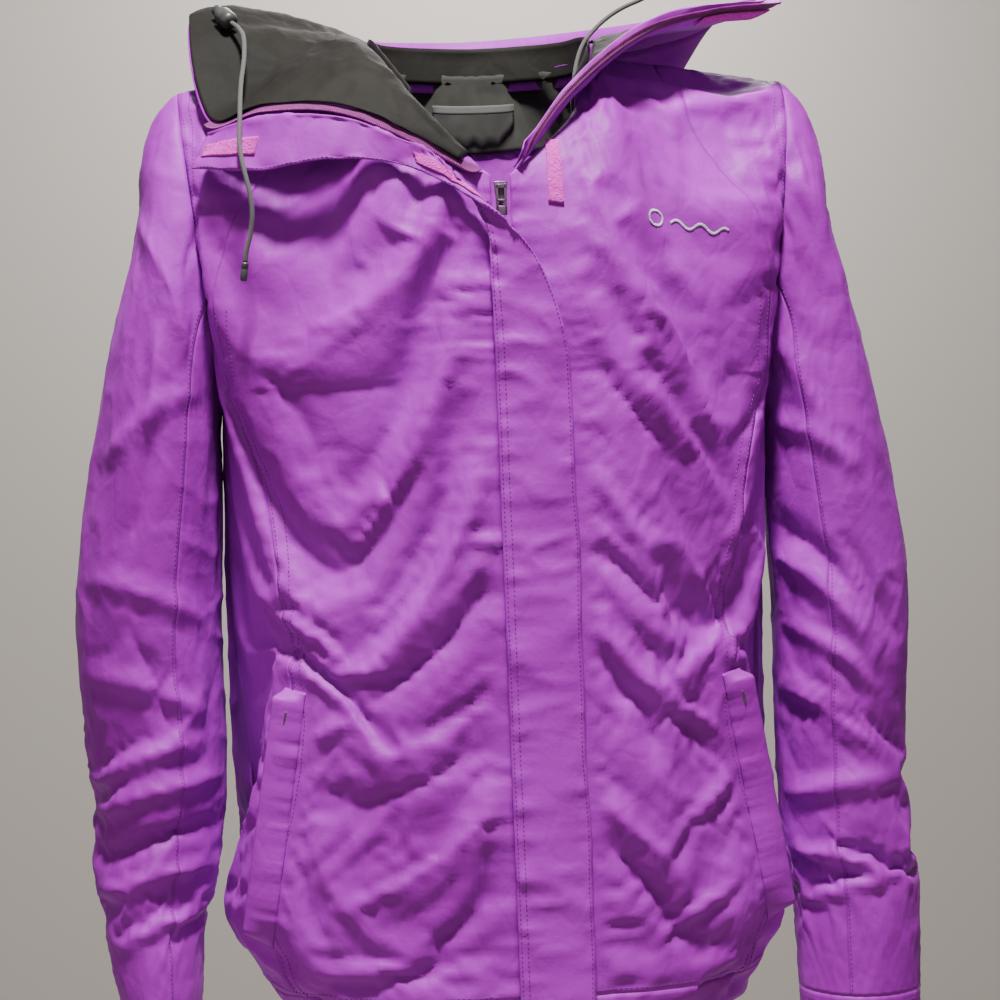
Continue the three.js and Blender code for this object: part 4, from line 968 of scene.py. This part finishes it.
for side, path in CORD_PATHS.items():
    cord, places = round_tube(f"hood_cord_{side}", path, CORD_THICK, CORD_BRAID, 1.2, 12, 0.06)
    worn(cord, "shell", "cord", f"hood_cord_{side}")
    fall = unit(np.subtract(path[-1], path[-2]))
    tip = turned_part(f"cord_tip_{side}", TIP_PROFILE, np.array(path[-1]) + fall * 0.2, fall)
    worn(tip, "shell", "dark_plastic", f"cord_tip_{side}")
    length = np.linalg.norm(np.diff(places, axis=0), axis=1).sum() * MM
    tuple(places[0] * MM)
    (places * MM).tolist()
    back_way = unit(np.subtract(path[0], path[1]))
    start = np.array(path[0]) + back_way * 0.4
    # The lock's bore leaves room for the button to sink into.
    lock = turned_part(f"cord_lock_{side}", [*CORD_LOCK_PROFILE, (16.4, 4.4), (10.4, 4.3)], start, back_way)
    worn(lock, "shell", "dark_plastic", f"cord_lock_{side}")
    name, profile = f"cord_lock_button_{side}", [(0, 2.6), (3.2, 2.6), (3.6, 3.6), (8.2, 3.9), (9.0, 3.2)]
    worn(turned_part(name, profile, start + back_way * 14.6, back_way), name, "dark_plastic", name)

# Storm flap: sewn down the wearer's right of the zip. It lies closed over the zip and folds
# open with the collar at the top, where it shows its inner side and the hook patches.
flap_edge = through(
    [
        [40, -131.5, -213], [30, -131, -174], [12, -133, -140], [-22, -130, -112],
        [-62, -120, -90], [-108, -112, -84], [-152, -98, -88], [-196, -75, -82],
    ]
)
hood_root = [hood(u, 1.0) + np.array([-3.0, -7.0, -6.0]) for u in (0.045, 0.075, 0.12, 0.18, 0.245)]
flap_root = through([[-8, -128.5, -213], [-9, -129, -168], [-12, -129, -128], *[list(p) for p in hood_root]])
shut_rows, open_rows = 150, 110
shut_z = np.linspace(-632, -213, shut_rows + 1)
shut_root = np.stack([0 * shut_z - 8, -front_depth(shut_z) - 3.0, shut_z], -1)
wave = 1.6 * np.sin(shut_z / 31.0) + 1.1 * np.sin(shut_z / 13.7 + 1)
shut_y = -front_depth(shut_z) - 4.6 + 0.8 * wave * smooth((-218 - shut_z) / 60)
shut_edge = np.stack([40 + 0.5 * wave, shut_y, shut_z], -1)
opening = np.linspace(0, 1, open_rows + 1)
root_line = np.concatenate([shut_root[:-1], flap_root(opening)])
edge_line = np.concatenate([shut_edge[:-1], flap_edge(opening)])
# The two halves meet gently where the flap starts to fold over.
near, before, after = (slice(shut_rows - 14 + k, shut_rows + 14 + k) for k in (0, -1, 1))
for line in (root_line, edge_line):
    for _ in range(30):
        line[near] = (line[before] + line[near] * 2 + line[after]) / 4


def flap_normals(grid):
    """Unit normals of the flap, facing forward at a place where it lies closed."""
    facing = normals(grid, 1)
    return -facing if facing[12, 20, 1] > 0 else facing


across = np.linspace(0, 1, 25)[:, None, None]
flap = mix(root_line, edge_line, across)
flap_out = flap_normals(flap)
width_share = across[..., 0]
shut_share = smooth((shut_rows + 10 - np.arange(flap.shape[1])) / 20)
# It stands off the zip in the middle, and its two sewn edges pucker.
arch = np.sin(np.pi * width_share)
place_along = run_of(edge_line)
line_points = np.stack([place_along, 0 * place_along, 0 * place_along], -1)
tugs = scatter(line_points, 8.0, 1.0) + 0.6 * scatter(line_points, 4.1, 2.0)
other_tugs = scatter(line_points, 9.0, 5.0) + 0.6 * scatter(line_points, 4.6, 7.0)
near_root, near_edge = np.exp(-width_share * 48 / 9), np.exp(-(1 - width_share) * 48 / 7)
height = 2.4 * arch * shut_share + 2.4 * near_root * tugs * smooth(width_share * 12)
height = height + 1.9 * near_edge * other_tugs * smooth((1 - width_share) * 16 + 0.4)
height = height + 2.0 * (creased(flap * np.array([0.5, 1, 1.0]), 24.0, 3.0) - 0.3) * arch**0.5
height = np.maximum(height, 0.5 * smooth(width_share * 12) * shut_share + height * (1 - shut_share))
flap = flap + flap_out * height[..., None]
flap_out = flap_normals(flap)
flap_bend = ("shell", "storm_flap", (-0.008, -0.13, -0.19), (-0.008, -0.13, -0.245))
FLAP_THICK = 1.1
sheet("storm_flap", flap, flap_out, flap_bend, ("storm_flap", "storm_flap_top"), (FLAP_THICK, *AS_SHELL[1:]))


def patch(name, grid, out, lift, thickness, *nodes, body="shell"):
    """A hook patch sewn onto a piece of cloth: it follows the part of the grid that it is given."""
    trim(name, grid + out * lift, out, thickness, HOOK_FUZZ, "hook_tape", *nodes, body=body)


flap_inside = flap - flap_out * FLAP_THICK
for number, columns_kept, start, stop in ((1, slice(9, 18), 0.875, 0.985), (2, slice(8, 19), 0.36, 0.54)):
    a, b = (shut_rows + int(round(share * open_rows)) for share in (start, stop))
    block = (columns_kept, slice(a, b + 1))
    patch(f"hook_patch_{number}", flap_inside[block], -flap_out[block], 0.9, 0.9)
block = (slice(17, 22), slice(shut_rows - 57, shut_rows - 40))
patch("flap_hook_patch", flap_inside[block], -flap_out[block], 0.9, 0.9, "flap_hook_patch", body="storm_flap")


# Front zip: coil teeth on woven tapes, closed below the slider and open up both edges of
# the collar. One tooth is modelled, and the rest are copies of it along each line.
def small_ball(segments, ring_count, size):
    """The points and faces of one small rounded shape, for repeating along lines."""
    bpy.ops.object.select_all(action="DESELECT")
    bpy.ops.mesh.primitive_uv_sphere_add(segments=segments, ring_count=ring_count, radius=0.5)
    ball = bpy.context.object
    ball.scale = size
    bpy.ops.object.transform_apply(location=False, rotation=False, scale=True)
    points = np.array([v.co for v in ball.data.vertices])
    faces = [list(p.vertices) for p in ball.data.polygons]
    bpy.data.objects.remove(ball)
    return points, faces


tooth_points, tooth_faces = small_ball(8, 5, (2.9, 1.5, 1.25))


def repeated(name, shape_points, shape_faces, places, sideways, outward, finish):
    """Copies one small shape along a line, its X sideways and its Y outward at each place."""
    sideways, outward, _ = np.broadcast_arrays(sideways, outward, places)
    frames = np.stack([sideways, outward, np.cross(sideways, outward)], 1)
    vertices = places[:, None] + np.einsum("pk,nkc->npc", shape_points, frames)
    count = len(shape_points)
    faces = [[k + n * count for k in face] for n in range(len(places)) for face in shape_faces]
    return new_piece(name, (vertices.reshape(-1, 3) * MM).tolist(), faces, finish)


def teeth(name, places, sideways, outward, *nodes, scale=1.0):
    piece = repeated(name, tooth_points * scale, tooth_faces, places, sideways, outward, TEETH_COIL)
    worn(piece, "shell", "zip_teeth", *nodes)


def edge_frame(turn_list):
    """Along the hood's outer edge: the points, the way outward in the cloth, and the face's own normal."""
    edge = hood(turn_list, 1.0)
    beyond = unit_rows(edge - hood(turn_list, 0.9))
    return edge, beyond, unit_rows(np.cross(np.gradient(edge, axis=0), beyond))


TOOTH_PITCH, TAPE_THICK, OPEN_POINTS = 1.35, 0.6, 160
for side, sign in SIDES.items():
    span = (0.008, 0.25) if side == "right" else (0.75, 0.992)
    edge, beyond, face = edge_frame(np.linspace(*span, OPEN_POINTS))
    if (face[80] @ np.array([0, -1, 0.3])) < 0:
        face = -face
    reach = np.linspace(-1.5, 4.6, 5)[:, None, None]
    tape = edge + beyond * reach + face * 0.9
    trim(f"zip_tape_open_{side}", tape, face, TAPE_THICK, TAPE_WEAVE, "zip_tape")
    line, heading = along_path((edge + beyond * 4.6 + face * 0.8)[::4], TOOTH_PITCH)
    blend_in = np.linspace(0, OPEN_POINTS - 1, len(line)).astype(int)
    sideways = beyond[blend_in] - heading * (beyond[blend_in] * heading).sum(1, keepdims=True)
    sideways = unit_rows(sideways)
    teeth(f"zip_teeth_{side}", line, sideways, np.cross(heading, sideways), f"zip_teeth_{side}")
    if side == "left":
        # A wrinkled strip of shell cloth stands up behind the left teeth. It takes the lighter copy of the
        # shell nylon, which is painted light.
        reach = np.linspace(-2, 12, 9)[:, None, None]
        rising = (0.55 + 0.45 * smooth(np.arange(OPEN_POINTS - 12) / 60))[:, None]
        strip = edge[12:] + beyond[12:] * reach * rising - face[12:] * 2.2
        wrinkle = 1.6 * scatter(strip, 11.0, 4.0) * np.linspace(0.2, 1, 9)[:, None]
        strip = strip + face[12:] * wrinkle[..., None]
        trim("draft_strip_left", strip, face[12:], 0.8, SHELL_PAINTED_LIT, "shell_nylon")

ZIP_TOP_Z, ZIP_FOOT_Z, ZIP_SINK = -102.0, -614.0, 3.7
ACROSS = np.array([1.0, 0, 0])
zip_top, zip_foot = (np.array([0, -front_depth(z), z]) for z in (ZIP_TOP_Z, ZIP_FOOT_Z))
zip_way = unit(zip_foot - zip_top)
zip_out = unit(np.cross((1, 0, 0), zip_way))
zip_out = zip_out if zip_out[1] < 0 else -zip_out
zip_length = np.linalg.norm(zip_foot - zip_top)
marks = np.arange(2, zip_length - 1, TOOTH_PITCH)
for name, shift, nodes in (("right", -0.9, ["zip_chain"]), ("left", 0.9, [])):
    places = zip_top + zip_way * marks[:, None] + zip_out * -ZIP_SINK + np.array([shift, 0, 0])
    places = places + zip_way * (0.34 if shift > 0 else -0.34)
    teeth(f"zip_chain_{name}", places, ACROSS, zip_out, *nodes)
for side, sign in SIDES.items():
    cross_mm = np.linspace(2.2, 16, 6)[:, None, None] * np.array([sign, 0, 0])
    down = zip_way * np.linspace(34, zip_length, 120)[:, None]
    tape = zip_top + down - zip_out * (ZIP_SINK + 1.0) + cross_mm
    trim(f"zip_tape_{side}", tape, zip_out, TAPE_THICK, TAPE_WEAVE, "zip_tape", f"zip_tape_{side}")
# The draft flap takes the lighter copy of the shell nylon, which is painted light.
down = zip_way * np.linspace(36, zip_length, 120)[:, None]
strip = zip_top + down - zip_out * (ZIP_SINK + 4.4) + np.linspace(-22, 22, 12)[:, None, None] * ACROSS
strip = crumpled(strip, np.broadcast_to(zip_out, strip.shape), 1.0)
trim("draft_flap", strip, zip_out, 0.8, SHELL_PAINTED_LIT, "shell_nylon", "draft_flap")


# Slider and pull: a tapered body with a bridge, and a flat tab with a slot, hanging under the flap.
def block(name, size, place, axes, bevel=0.4, taper=1.0):
    """A bevelled block: size along axes (sideways, outward, up); taper narrows its lower end."""
    bpy.ops.object.select_all(action="DESELECT")
    bpy.ops.mesh.primitive_cube_add(size=1)
    part = bpy.context.object
    part.name = name
    turn = Matrix([list(axis) for axis in axes]).transposed()
    for v in part.data.vertices:
        narrow = taper if v.co.z < 0 else 1.0
        local = Vector((v.co.x * size[0] * narrow, v.co.y * size[1], v.co.z * size[2]))
        v.co = (turn @ local + Vector(place)) * MM
    if turn.determinant() < 0:
        part.data.flip_normals()
    rounding = part.modifiers.new("rounding", "BEVEL")
    rounding.width, rounding.segments = bevel * MM, 3
    bpy.ops.object.modifier_apply(modifier="rounding")
    bpy.ops.object.shade_smooth_by_angle(angle=math.radians(40))
    part.data.materials.append(SLIDER_PAINT)
    return part


def joined(name, parts):
    bpy.ops.object.select_all(action="DESELECT")
    for part in parts:
        part.select_set(True)
    bpy.context.view_layer.objects.active = parts[0]
    bpy.ops.object.join()
    parts[0].name = name
    return parts[0]


def centre_of(node):
    low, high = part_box(node)
    return np.array((low + high) / 2) / MM


def slotted(name, size, place, axes):
    """A flat pull tab with a slot at its foot and a ring at its head."""
    side_way, outward, upward = (np.array(axis) for axis in axes)
    w, t, h = size
    rails = [block("rail", (1.7, t, h), place + side_way * s * (w / 2 - 0.85), axes, 0.3) for s in (-1, 1)]
    bars = (3.0, h / 2 - 1.5), (6.0, -h / 2 + 3.0), (1.6, -0.5)
    ends = [block("end", (w, t, e), place + upward * u, axes, 0.35) for e, u in bars]
    return joined(name, rails + ends)


def hardware(part, body, node):
    worn(part, body, "zip_hardware", node)


zip_axes = ((1, 0, 0), zip_out, -zip_way)
spot = centre_of("zip_slider")
parts = [
    block("plate", (9, 1.3, 12), spot + zip_out * 0.8, zip_axes, 0.5, 0.72),
    block("bridge", (2.6, 1.6, 8.5), spot - zip_out * 0.4, zip_axes, 0.4),
    block("crown", (3.4, 1.2, 6), spot + zip_out * 1.0 - zip_way * 1.0, zip_axes, 0.5),
]
hardware(joined("zip_slider", parts), "zip_slider", "zip_slider")
hardware(slotted("zip_pull", (7, 1.5, 20), centre_of("zip_pull"), zip_axes), "zip_pull", "zip_pull")
box = block("zip_end_box", (8.6, 3.6, 8), centre_of("zip_end_box"), zip_axes, 0.6)
hardware(box, "shell", "zip_end_box")


# Pockets: a zip with its slider along the curved seam, a welt over it and a mesh bag behind.
def quarter_point(sign, turn, rise):
    point = quarter(np.array(turn), np.array(rise), False)
    return point * np.array([sign, 1, 1])


def rise_at(z):
    return UNDERARM_RISE * (z - HEM_Z) / (UNDERARM_Z - HEM_Z)


def seam_at(rise):
    return float(seam_track(rise / SEAM_TOP_RISE)[0])


def on_panel(side, x, z):
    """The point of the front of the jacket that lies at x and z, and the way it faces."""
    grid = fine_quarters[side, False]
    distance = (grid[..., 0] - x) ** 2 + (grid[..., 2] - z) ** 2
    nearest = np.argsort(distance.ravel())[:4]
    share = 1 / (distance.ravel()[nearest] + 0.5)
    share /= share.sum()
    facing = front_normals[side].reshape(-1, 3)[nearest]
    point = (grid.reshape(-1, 3)[nearest] * share[:, None]).sum(0)
    return np.array([x, point[1], z]), unit((facing * share[:, None]).sum(0))


front_normals = {side: normals(fine_quarters[side, False], sign) for side, sign in SIDES.items()}
WELT_HALF, WELT_WIDE, WELT_OUT = 84, 6.5, 7.8
WELT_ACROSS, WELT_ALONG, BAG_BEHIND = 13, 90, 9.5
for side, sign in SIDES.items():
    top, foot = (quarter_point(sign, seam_at(rise_at(z)), rise_at(z)) for z in (POCKET_TOP, POCKET_FOOT))
    upward = unit(top - foot)
    beside = quarter_point(sign, seam_at(rise_at(POCKET_TOP)) + 0.05, rise_at(POCKET_TOP))
    outward = -unit(np.cross(upward, (beside - top) * sign))
    outward = outward if outward[1] < 0 else -outward
    sideways = unit(np.cross(outward, upward)) * (1 if np.cross(outward, upward)[0] * sign > 0 else -1)
    middle = centre_of(f"pocket_zip_{side}")
    marks = np.arange(-74, 74, TOOTH_PITCH)
    places = middle + upward * marks[:, None] + outward * 0.3
    teeth(f"pocket_zip_teeth_{side}", places, sideways, outward, scale=0.85)
    tape = middle + upward * np.linspace(-76, 76, 60)[:, None] - outward * 0.4
    tape = tape + sideways * np.linspace(-4.5, 4.5, 5)[:, None, None]
    trim(f"pocket_zip_{side}", tape, outward, 0.5, TAPE_WEAVE, "zip_tape", f"pocket_zip_{side}")
    name = f"pocket_slider_{side}"
    slider = block(name, (6.4, 1.8, 10), centre_of(name), (sideways, outward, upward), 0.7, 0.75)
    hardware(slider, name, name)
    rows = np.linspace(-WELT_HALF, WELT_HALF, WELT_ALONG)
    welt = np.zeros((WELT_ACROSS, WELT_ALONG, 3))
    ends = smooth((WELT_HALF - np.abs(rows)) / 7)
    for j, s in enumerate(rows):
        line = middle + upward * s
        root = line - sideways * 15.5
        root, root_out = on_panel(side, root[0], root[2])
        root = root + root_out * 0.9
        low, low_out = on_panel(side, (line + sideways * 3)[0], (line + sideways * 3)[2])
        free_edge = mix(low + low_out * 1.0, line + sideways * WELT_WIDE + outward * WELT_OUT, ends[j])
        crest = mix(root, free_edge, 0.55) + outward * 4.0 * ends[j]
        for i, share in enumerate(np.linspace(0, 1, WELT_ACROSS)):
            welt[i, j] = (1 - share) ** 2 * root + 2 * share * (1 - share) * crest + share**2 * free_edge
    ripples = 0.5 * scatter(np.stack([rows, 0 * rows, 0 * rows], -1), 9.0, 3.0)
    welt = welt + outward * (ripples * ends)[:, None] * np.linspace(1, 0.5, WELT_ACROSS)[:, None, None]
    trim(f"pocket_welt_{side}", welt, outward, 1.0, SHELL_CLOTH, "shell_nylon", f"pocket_welt_{side}")
    front = fine_quarters[side, False]
    rows_kept = np.flatnonzero((front[SEAM, :, 2] > POCKET_FOOT) & (front[SEAM, :, 2] < POCKET_TOP + 16))
    block_kept = slice(12, SEAM - 1, 2), slice(rows_kept[0], rows_kept[-1], 2)
    bag = front[block_kept] - front_normals[side][block_kept] * BAG_BEHIND
    sheet(f"pocket_bag_{side}", bag, normals(bag, sign), made=(0.5, MESH_CLOTH, "mesh_cloth"))

# Hem: the drawcord lies inside the channel, with a lock at each side and a webbing tab at the left.
hem_path = []
HEM_CORD_UP, HEM_CORD_IN = 10.0, 4.9
for share in np.linspace(-0.93, 0.93, 60):
    turn = 2 * (1 - abs(share))
    behind = turn < 1
    x, y, z = section(np.array(turn if behind else 2 - turn), np.array(HEM_Z + HEM_CORD_UP), behind)
    inset = 1 - HEM_CORD_IN / math.hypot(x, y)
    hem_path.append([math.copysign(1, share) * x * inset, y * inset, z])
cord, places = round_tube("hem_cord", hem_path, CORD_THICK, CORD_BRAID, 2.5, 10, 0.05)
worn(cord, "shell", "cord", "hem_cord")
LOCK_PROFILE = [(-8.5, 3.6), (-7.6, 5.0), (-6.0, 5.8), (-3, 6.0), (5, 6.0), (7.4, 5.4), (8.4, 4.8)]
LOCK_PROFILE += [(8.4, 4.4), (2.2, 4.3)]
BUTTON_PROFILE = [(-6, 2.6), (-2.6, 2.6), (-2.2, 3.6), (2.2, 3.9), (3, 3.2)]
for side in SIDES:
    for name, profile, body in (
        (f"hem_lock_{side}", LOCK_PROFILE, "shell"),
        (f"hem_lock_button_{side}", BUTTON_PROFILE, f"hem_lock_button_{side}"),
    ):
        worn(turned_part(name, profile, centre_of(name), (0, -1, 0)), body, "dark_plastic", name)
spot = centre_of("hem_pull_left")
around = np.linspace(0, math.pi, 15)
out_of_hem, down = spot[0] + 7.5 * np.sin(around) - 4.0, spot[2] - 3.5 * np.cos(around)
loop = np.stack([out_of_hem, 0 * around + spot[1], down], -1)
ribbon = loop + np.linspace(-5, 5, 5)[:, None, None] * np.array([0, 1.0, 0])
trim("hem_pull_left", ribbon, normals(ribbon, 1), 0.9, PINK_WEBBING, "pull_webbing", "hem_pull_left")

# Neck: a mesh facing inside the back, and the hanger loop on it.
top_rows = whole_back.shape[1]
inside_neck = slice(56, -56), slice(top_rows - 20, top_rows - 1)
facing = whole_back[inside_neck] - back_out[inside_neck] * 3.4
sheet("neck_facing", facing, -back_out[inside_neck], made=(0.6, MESH_CLOTH, "mesh_cloth"))
low, high = (np.array(corner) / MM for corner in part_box("hanger_loop"))
arc = np.linspace(0, math.pi, 25)
strap_y = high[1] - 1 - (high[1] - low[1] - 2) * np.sin(arc) ** 0.5
strap = np.stack([-28.5 * np.cos(arc), strap_y, 0 * arc + (low[2] + high[2]) / 2 - 2.5 * np.sin(arc)], -1)
ribbon = strap + np.linspace(-3, 3, 5)[:, None, None] * np.array([0, 0.1, 1.0])
trim("hanger_loop", ribbon, normals(ribbon, 1), 0.9, CORD_BRAID, "cord", "hanger_loop")


# Loop patches: one stands beside the neck's opening, one lies across the left collar.
def panel_grid(side, corners, across, along):
    """A grid of points on the front of the jacket between four (x, z) corners."""
    made, facing = np.zeros((across, along, 3)), np.zeros((across, along, 3))
    a, b, c, d = (np.array(corner, float) for corner in corners)
    for i, u in enumerate(np.linspace(0, 1, across)):
        for j, v in enumerate(np.linspace(0, 1, along)):
            x, z = mix(mix(a, b, u), mix(d, c, u), v)
            made[i, j], facing[i, j] = on_panel(side, x, z)
    return made, facing


patch_grid, patch_out = panel_grid("left", ((31, -74), (40, -75), (40, -118), (30, -116)), 7, 24)
patch_out = np.broadcast_to(unit(patch_out.sum((0, 1))), patch_grid.shape)
patch("loop_patch_1", patch_grid, patch_out, 1.5, 1.0)
patch_grid = hood(np.linspace(0.752, 0.815, 30)[:, None], np.linspace(0.84, 0.97, 7))
patch_out = normals(patch_grid, 1)
patch_out = patch_out if patch_out[15, 3, 1] < 0 else -patch_out
patch("loop_patch_2", patch_grid, patch_out, 1.9, 1.0)

# Cuff tabs: short straps round the outside of each cuff, with a hook patch under the end.
TAB_COLUMNS, TAB_ROWS = slice(79, 99), 9
for side, sign in SIDES.items():
    closed = fine_sleeves[side]
    out = normals(closed, -sign)
    kept = TAB_COLUMNS, slice(closed.shape[1] - TAB_ROWS, closed.shape[1])
    strap, strap_out, tab = closed[kept], out[kept], f"cuff_tab_{side}"
    trim(tab, strap + strap_out * 3.2, strap_out, 1.4, SHELL_CLOTH, "shell_nylon", tab, body=tab)
    small = (slice(12, 18), slice(2, 7))
    patch(f"cuff_hook_{side}", (strap + strap_out * 1.6)[small], strap_out[small], 0.0, 0.7, body=tab)

# Stitching: every stitch is a copy of one short rounded one.
stitch_points, stitch_faces = small_ball(6, 4, (0.72, 0.6, 2.3))


def spaced(line, facing, first, pitch):
    """Places at even steps along a line on cloth, the way the cloth faces and the way the line goes."""
    line, facing = np.asarray(line, float), np.asarray(facing, float)
    way = run_of(line)
    marks = np.arange(first, way[-1], pitch)
    places = at_marks(marks, way, line)
    return places, unit_rows(at_marks(marks, way, facing)), np.gradient(places, axis=0)


def sewn(name, grid, facing, where, body="shell", pitch=3.0):
    """A row of stitches along one line of a grid of points that lie on cloth facing that way."""
    places, outward, heading = spaced(grid[where], facing[where], pitch / 2, pitch)
    heading -= outward * (heading * outward).sum(1, keepdims=True)
    heading, on_top = unit_rows(heading), places + outward * 0.05
    across = np.cross(outward, heading)
    piece = repeated(name, stitch_points, stitch_faces, on_top, across, outward, SEWING)
    worn(piece, body, "shell_nylon")


finer_rises = finer(np.stack([rises, rises])[..., None])[0, :, 0]
seam_rows = slice(EDGE, int(np.searchsorted(finer_rises, SEAM_TOP_RISE)))
hole_rows, side_edge = slice(2 * UNDERARM_ROW, -1), 2 * SIDE_COLUMNS
for side, sign in SIDES.items():
    grid, out = fine_quarters[side, False], front_normals[side]
    for number, column in enumerate((SEAM - 1, SEAM - 4)):
        sewn(f"seam_stitches_{side}_{number + 1}", grid, out, (column, seam_rows))
    for number, column in enumerate((side_edge - 1, side_edge - 3)):
        sewn(f"armhole_stitches_{side}_{number + 1}", grid, out, (column, hole_rows))
    back, facing = fine_quarters[side, True], normals(fine_quarters[side, True], -sign)
    sewn(f"armhole_back_stitches_{side}", back, facing, (side_edge - 2, hole_rows))
    sewn(f"shoulder_stitches_{side}", back, facing, (slice(2 * NECK_COLUMN, None), -3))
    band_line = np.concatenate([grid[:, EDGE + 1], back[-2::-1, EDGE + 1]])
    band_out = np.concatenate([out[:, EDGE + 1], facing[-2::-1, EDGE + 1]])
    sewn(f"hem_stitches_{side}", band_line, band_out, slice(4, None), pitch=3.4)
    closed = fine_sleeves[side]
    sleeve_out = normals(closed, -sign)
    for number, column in enumerate((UNDER + 1, 2 * AROUND - UNDER - 1, 2 * AROUND - UNDER - 3)):
        where = column, slice(4, CUFF_FROM)
        sewn(f"sleeve_stitches_{side}_{number + 1}", closed, sleeve_out, where, sleeve_bends[side])
    sewn(f"cuff_stitches_{side}", closed, sleeve_out, (slice(None), CUFF_FROM + 2), f"sleeve_{side}")
for name, column in (("root_1", 1), ("root_2", 3), ("edge", 23)):
    sewn(f"flap_stitches_{name}", flap, flap_out, (column, slice(2, -2)), flap_bend)
sewn("flap_edge_inside", flap - flap_out * 1.15, -flap_out, (23, slice(4, -2)), flap_bend)

# Chest mark: a plain embroidered ring with a waving line beside it.
angle, share = np.linspace(0, 2 * math.pi, 120), np.linspace(0, 1, 90)
ring_spots = [(101 + 5.2 * math.cos(a), -126 + 5.2 * math.sin(a)) for a in angle]
wave_spots = [(112 + 40 * s, -128.5 - 6 * s + 2.3 * math.sin(15 * s)) for s in share]
satin = stitch_points * np.array([0.8, 0.9, 0.95])
for name, spots, nodes in (("chest_mark", ring_spots, ["chest_mark"]), ("chest_mark_line", wave_spots, [])):
    line, facing = zip(*[on_panel("left", *spot) for spot in spots])
    places, outward, heading = spaced(line, facing, 0.2, 0.42)
    heading = unit_rows(heading)
    slanted = unit_rows(heading * 0.5 + np.cross(outward, heading))
    across, on_top = np.cross(outward, slanted), places + outward * 0.35
    piece = repeated(name, satin, stitch_faces, on_top, across, outward, SILVER_THREAD)
    worn(piece, "shell", "embroidery", *nodes)


# Floor and light.
def slab(name, size, place, finish):
    bpy.ops.mesh.primitive_plane_add(size=1, location=place)
    plane = bpy.context.object
    plane.name = name
    plane.scale = (*size, 1)
    plane.data.materials.append(finish)
    return plane


FLOOR_Z, WALL_Y, ROOM_WIDE = -1.65, 3.4, 9
wall_finish = Finish("wall", Roughness=0.9)
wall_finish.shows(Base_Color=(0.5, 0.47, 0.44, 1))
floor = slab("floor", (ROOM_WIDE, ROOM_WIDE), (0, 0, FLOOR_Z), wall_finish.material)
wall = slab("wall", (ROOM_WIDE, 6), (0, WALL_Y, 0), wall_finish.material)
wall.rotation_euler = (math.pi / 2, 0, 0)
world = bpy.data.worlds.new("room")
scene.world = world
world.use_nodes = True
sky = world.node_tree.nodes["Background"].inputs
sky["Color"].default_value, sky["Strength"].default_value = (1.0, 0.97, 0.95, 1), 0.11


def lamp(name, place, aim, size, watts, colour=(1, 0.97, 0.94)):
    light = bpy.data.lights.new(name, "AREA")
    light.shape, light.size, light.energy, light.color = "DISK", size, watts, colour
    holder = bpy.data.objects.new(name, light)
    holder.location = place
    holder.rotation_euler = (Vector(aim) - Vector(place)).to_track_quat("-Z", "Y").to_euler()
    scene.collection.objects.link(holder)


lamp("above", (-0.05, -0.85, 1.65), (0, 0, -0.1), 0.3, 112)
lamp("front", (0.9, -2.2, 0.4), (0, 0, -0.3), 1.6, 3.0)
lamp("wall", (0.4, 2.2, 1.4), (0, WALL_Y, 0.2), 0.8, 52)
lamp("behind", (0.3, 1.6, 1.2), (0, 0, -0.3), 0.9, 22)
lamp("right_fill", (-1.8, -0.9, 0.2), (0, 0, -0.35), 1.0, 4)
